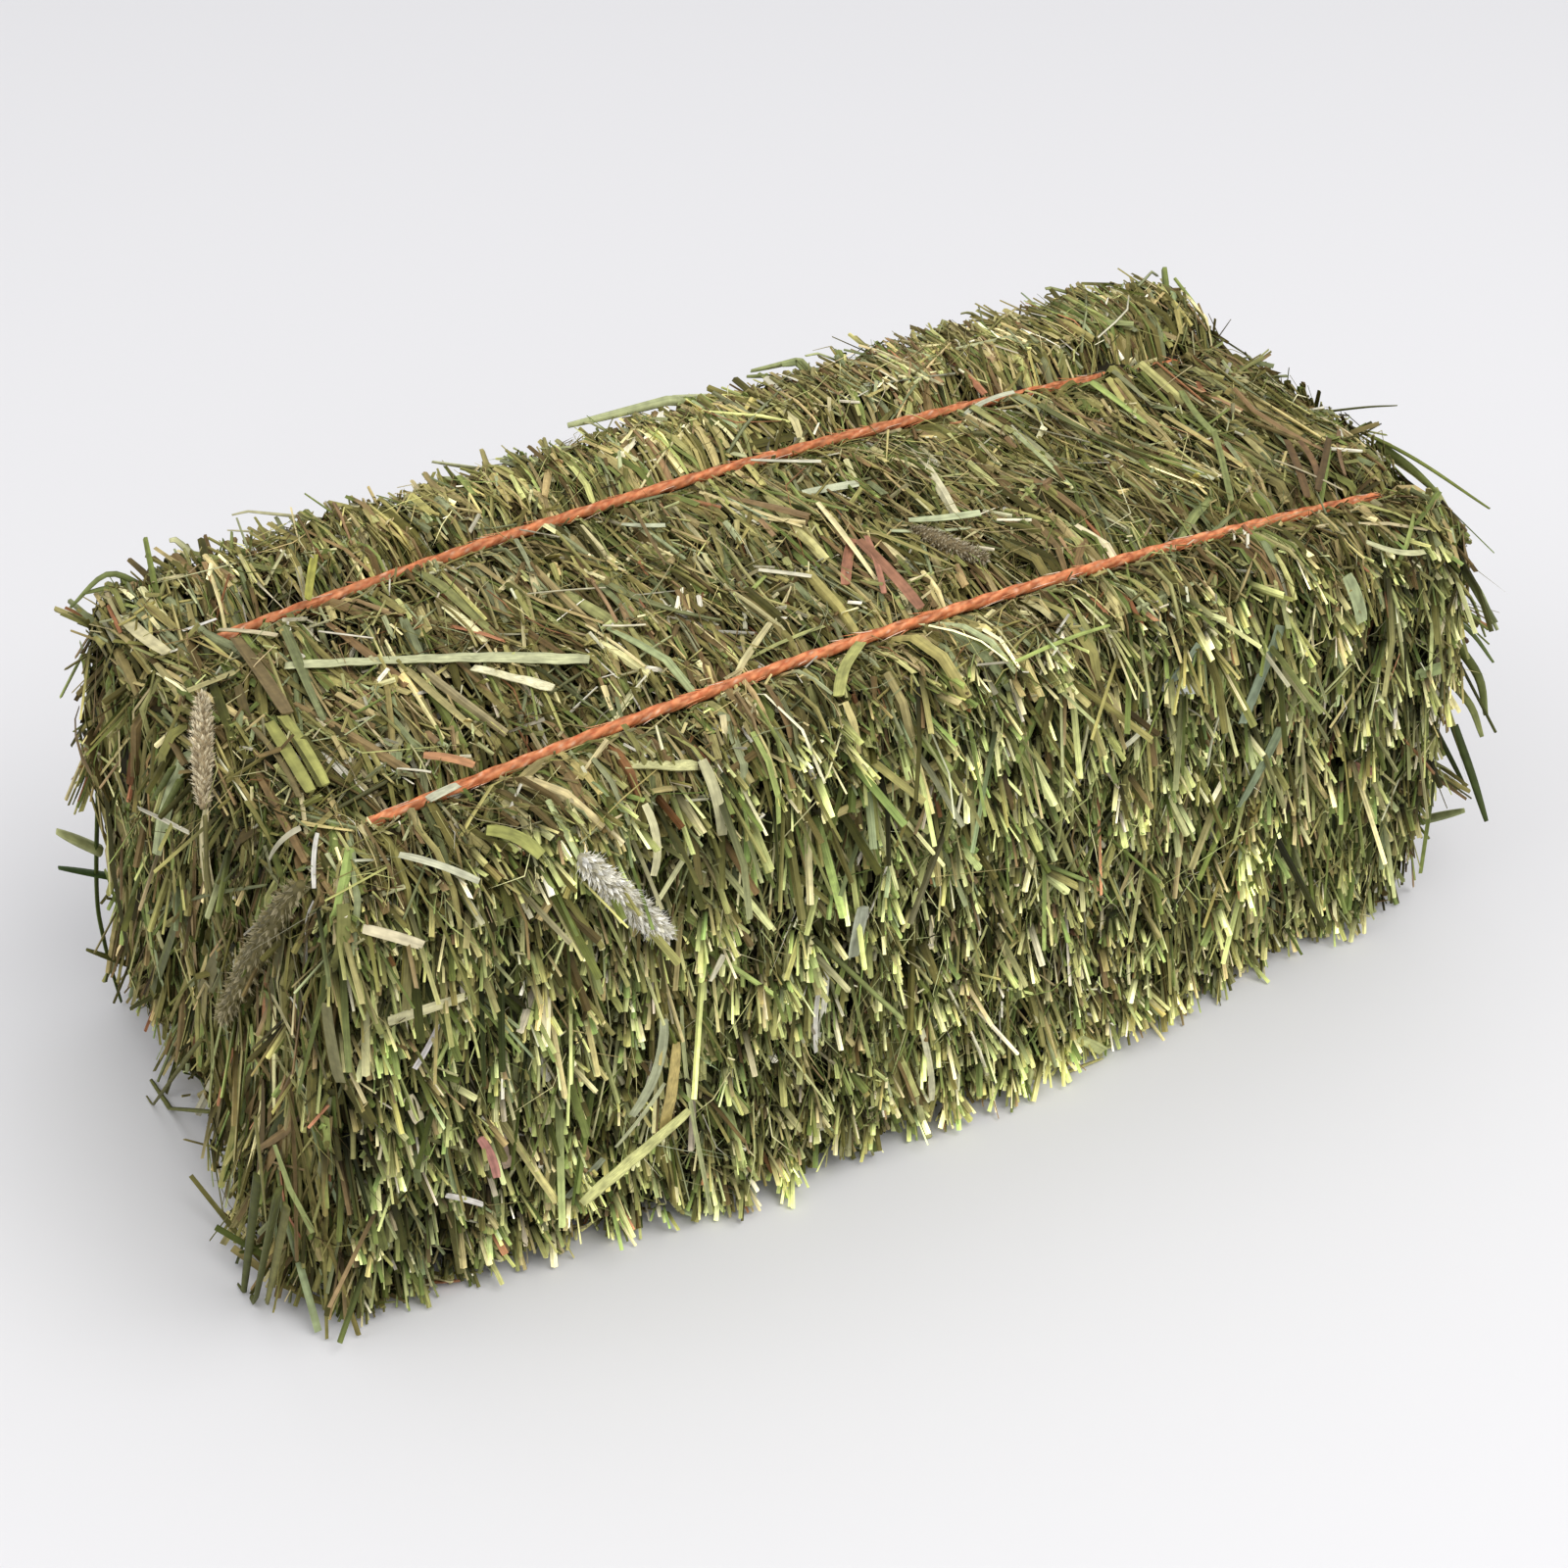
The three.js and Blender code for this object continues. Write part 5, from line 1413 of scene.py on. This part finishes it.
seedHeads = {
    "timothy_front": {"replaces": "seed_head_front", "radius": 3.6, "husks": 420,
                      "path": ((-100, -73.5, 115.5), (-90.4, -75.5, 101.5), (-81, -75.5, 88.5)),
                      "tones": ((168, 162, 138), (206, 202, 182), (224, 220, 204), (242, 240, 230))},
    "timothy_top": {"replaces": "seed_head_top", "radius": 2.6, "husks": 260,
                    "path": ((24, -8, 122.4), (25.5, -18, 123.6), (30, -30, 123.6)),
                    "tones": ((126, 112, 84), (158, 146, 116), (180, 168, 140), (196, 186, 160))},
    "timothy_end": {"replaces": "seed_head_end", "radius": 2.7, "husks": 330,
                    "path": ((-157.6, -13, 110.5), (-152.4, -1.5, 117.6), (-146.2, 12.6, 120.4)),
                    "tones": ((146, 130, 100), (180, 166, 134), (198, 184, 152), (216, 204, 174))},
}


# One piece for each seed head
def addSeedHeads(material):
    dice = np.random.default_rng(35)
    made = []
    for name, recipe in seedHeads.items():
        tubes = headTubes(recipe["path"], recipe["radius"], recipe["husks"], recipe["tones"], dice)
        made.append(pieceOf(name, tubes, material, [recipe["replaces"]]))
    return made


twineFibre = hayMaterial("twineFibre", 0.5, (240, 60, 1))
dryBlade = hayMaterial("dryBlade", 0.58, (14, 22, 1))
seedHead = hayMaterial("seedHead", 0.74)
others = addLooseStraw(dryBlade) + addSeedHeads(seedHead)
others.append(addTwine("poly_twine_front", "twine_front", -twine["y"], 32, twineFibre, 1))
others.append(addTwine("poly_twine_back", "twine_back", twine["y"], 33, twineFibre, 0.86))
print("triangles in the others:", others, "all:", sum(triangles) + sum(others))


# Camera, light and floor

# The camera stands where its settings say, turned to its right, up and back directions.
def addCamera():
    lens = bpy.data.cameras.new("camera")
    lens.lens = camera["lens"]
    lens.sensor_width = camera["sensor"]
    lens.clip_start = 0.01
    lens.dof.use_dof = False
    seer = bpy.data.objects.new("camera", lens)
    turned = Matrix([axis.tolist() for axis in cameraAxes()]).transposed().to_4x4()
    seer.matrix_world = Matrix.Translation(Vector(camera["place"]) * metres) @ turned
    bpy.context.collection.objects.link(seer)
    bpy.context.scene.camera = seer


studio = {
    "floorSize": 9000,
    "floor": (226, 226, 230),
    "floorRoughness": 0.9,
    "world": (0.985, 0.985, 0.985),
    "worldLight": 0.75,
    "lampColour": (1.0, 0.985, 0.95),
    "aim": (0, 0, 60),
    "lamps": {
        "key": {"place": (300, -900, 1500), "size": 1300, "watts": 17},
        "fill": {"place": (-1300, 200, 1100), "size": 1200, "watts": 5},
    },
}


# An even room, two large lamps that look at the bale's middle, and a square floor
def addStudio():
    world = bpy.data.worlds.new("softRoom")
    world.use_nodes = True
    glow = world.node_tree.nodes["Background"]
    glow.inputs["Color"].default_value = (*studio["world"], 1)
    glow.inputs["Strength"].default_value = studio["worldLight"]
    bpy.context.scene.world = world
    for name, lamp in studio["lamps"].items():
        light = bpy.data.lights.new(name, "AREA")
        light.energy = lamp["watts"]
        light.size = lamp["size"] * metres
        light.color = studio["lampColour"]
        holder = bpy.data.objects.new(name, light)
        place = Vector(lamp["place"]) * metres
        holder.location = place
        aim = Vector(studio["aim"]) * metres - place
        holder.rotation_euler = aim.to_track_quat("-Z", "Y").to_euler()
        bpy.context.collection.objects.link(holder)
    half = studio["floorSize"] / 2 * metres
    mesh = bpy.data.meshes.new("floor")
    corners = [(-half, -half, 0), (half, -half, 0), (half, half, 0), (-half, half, 0)]
    mesh.from_pydata(corners, [], [(0, 1, 2, 3)])
    paint = bpy.data.materials.new("paleFloor")
    paint.use_nodes = True
    shader = paint.node_tree.nodes["Principled BSDF"]
    shader.inputs["Base Color"].default_value = (*linear(studio["floor"]), 1)
    shader.inputs["Roughness"].default_value = studio["floorRoughness"]
    mesh.materials.append(paint)
    floor = bpy.data.objects.new("floor", mesh)
    bpy.context.collection.objects.link(floor)
    bpy.context.scene.view_settings.view_transform = "Standard"


addCamera()
addStudio()
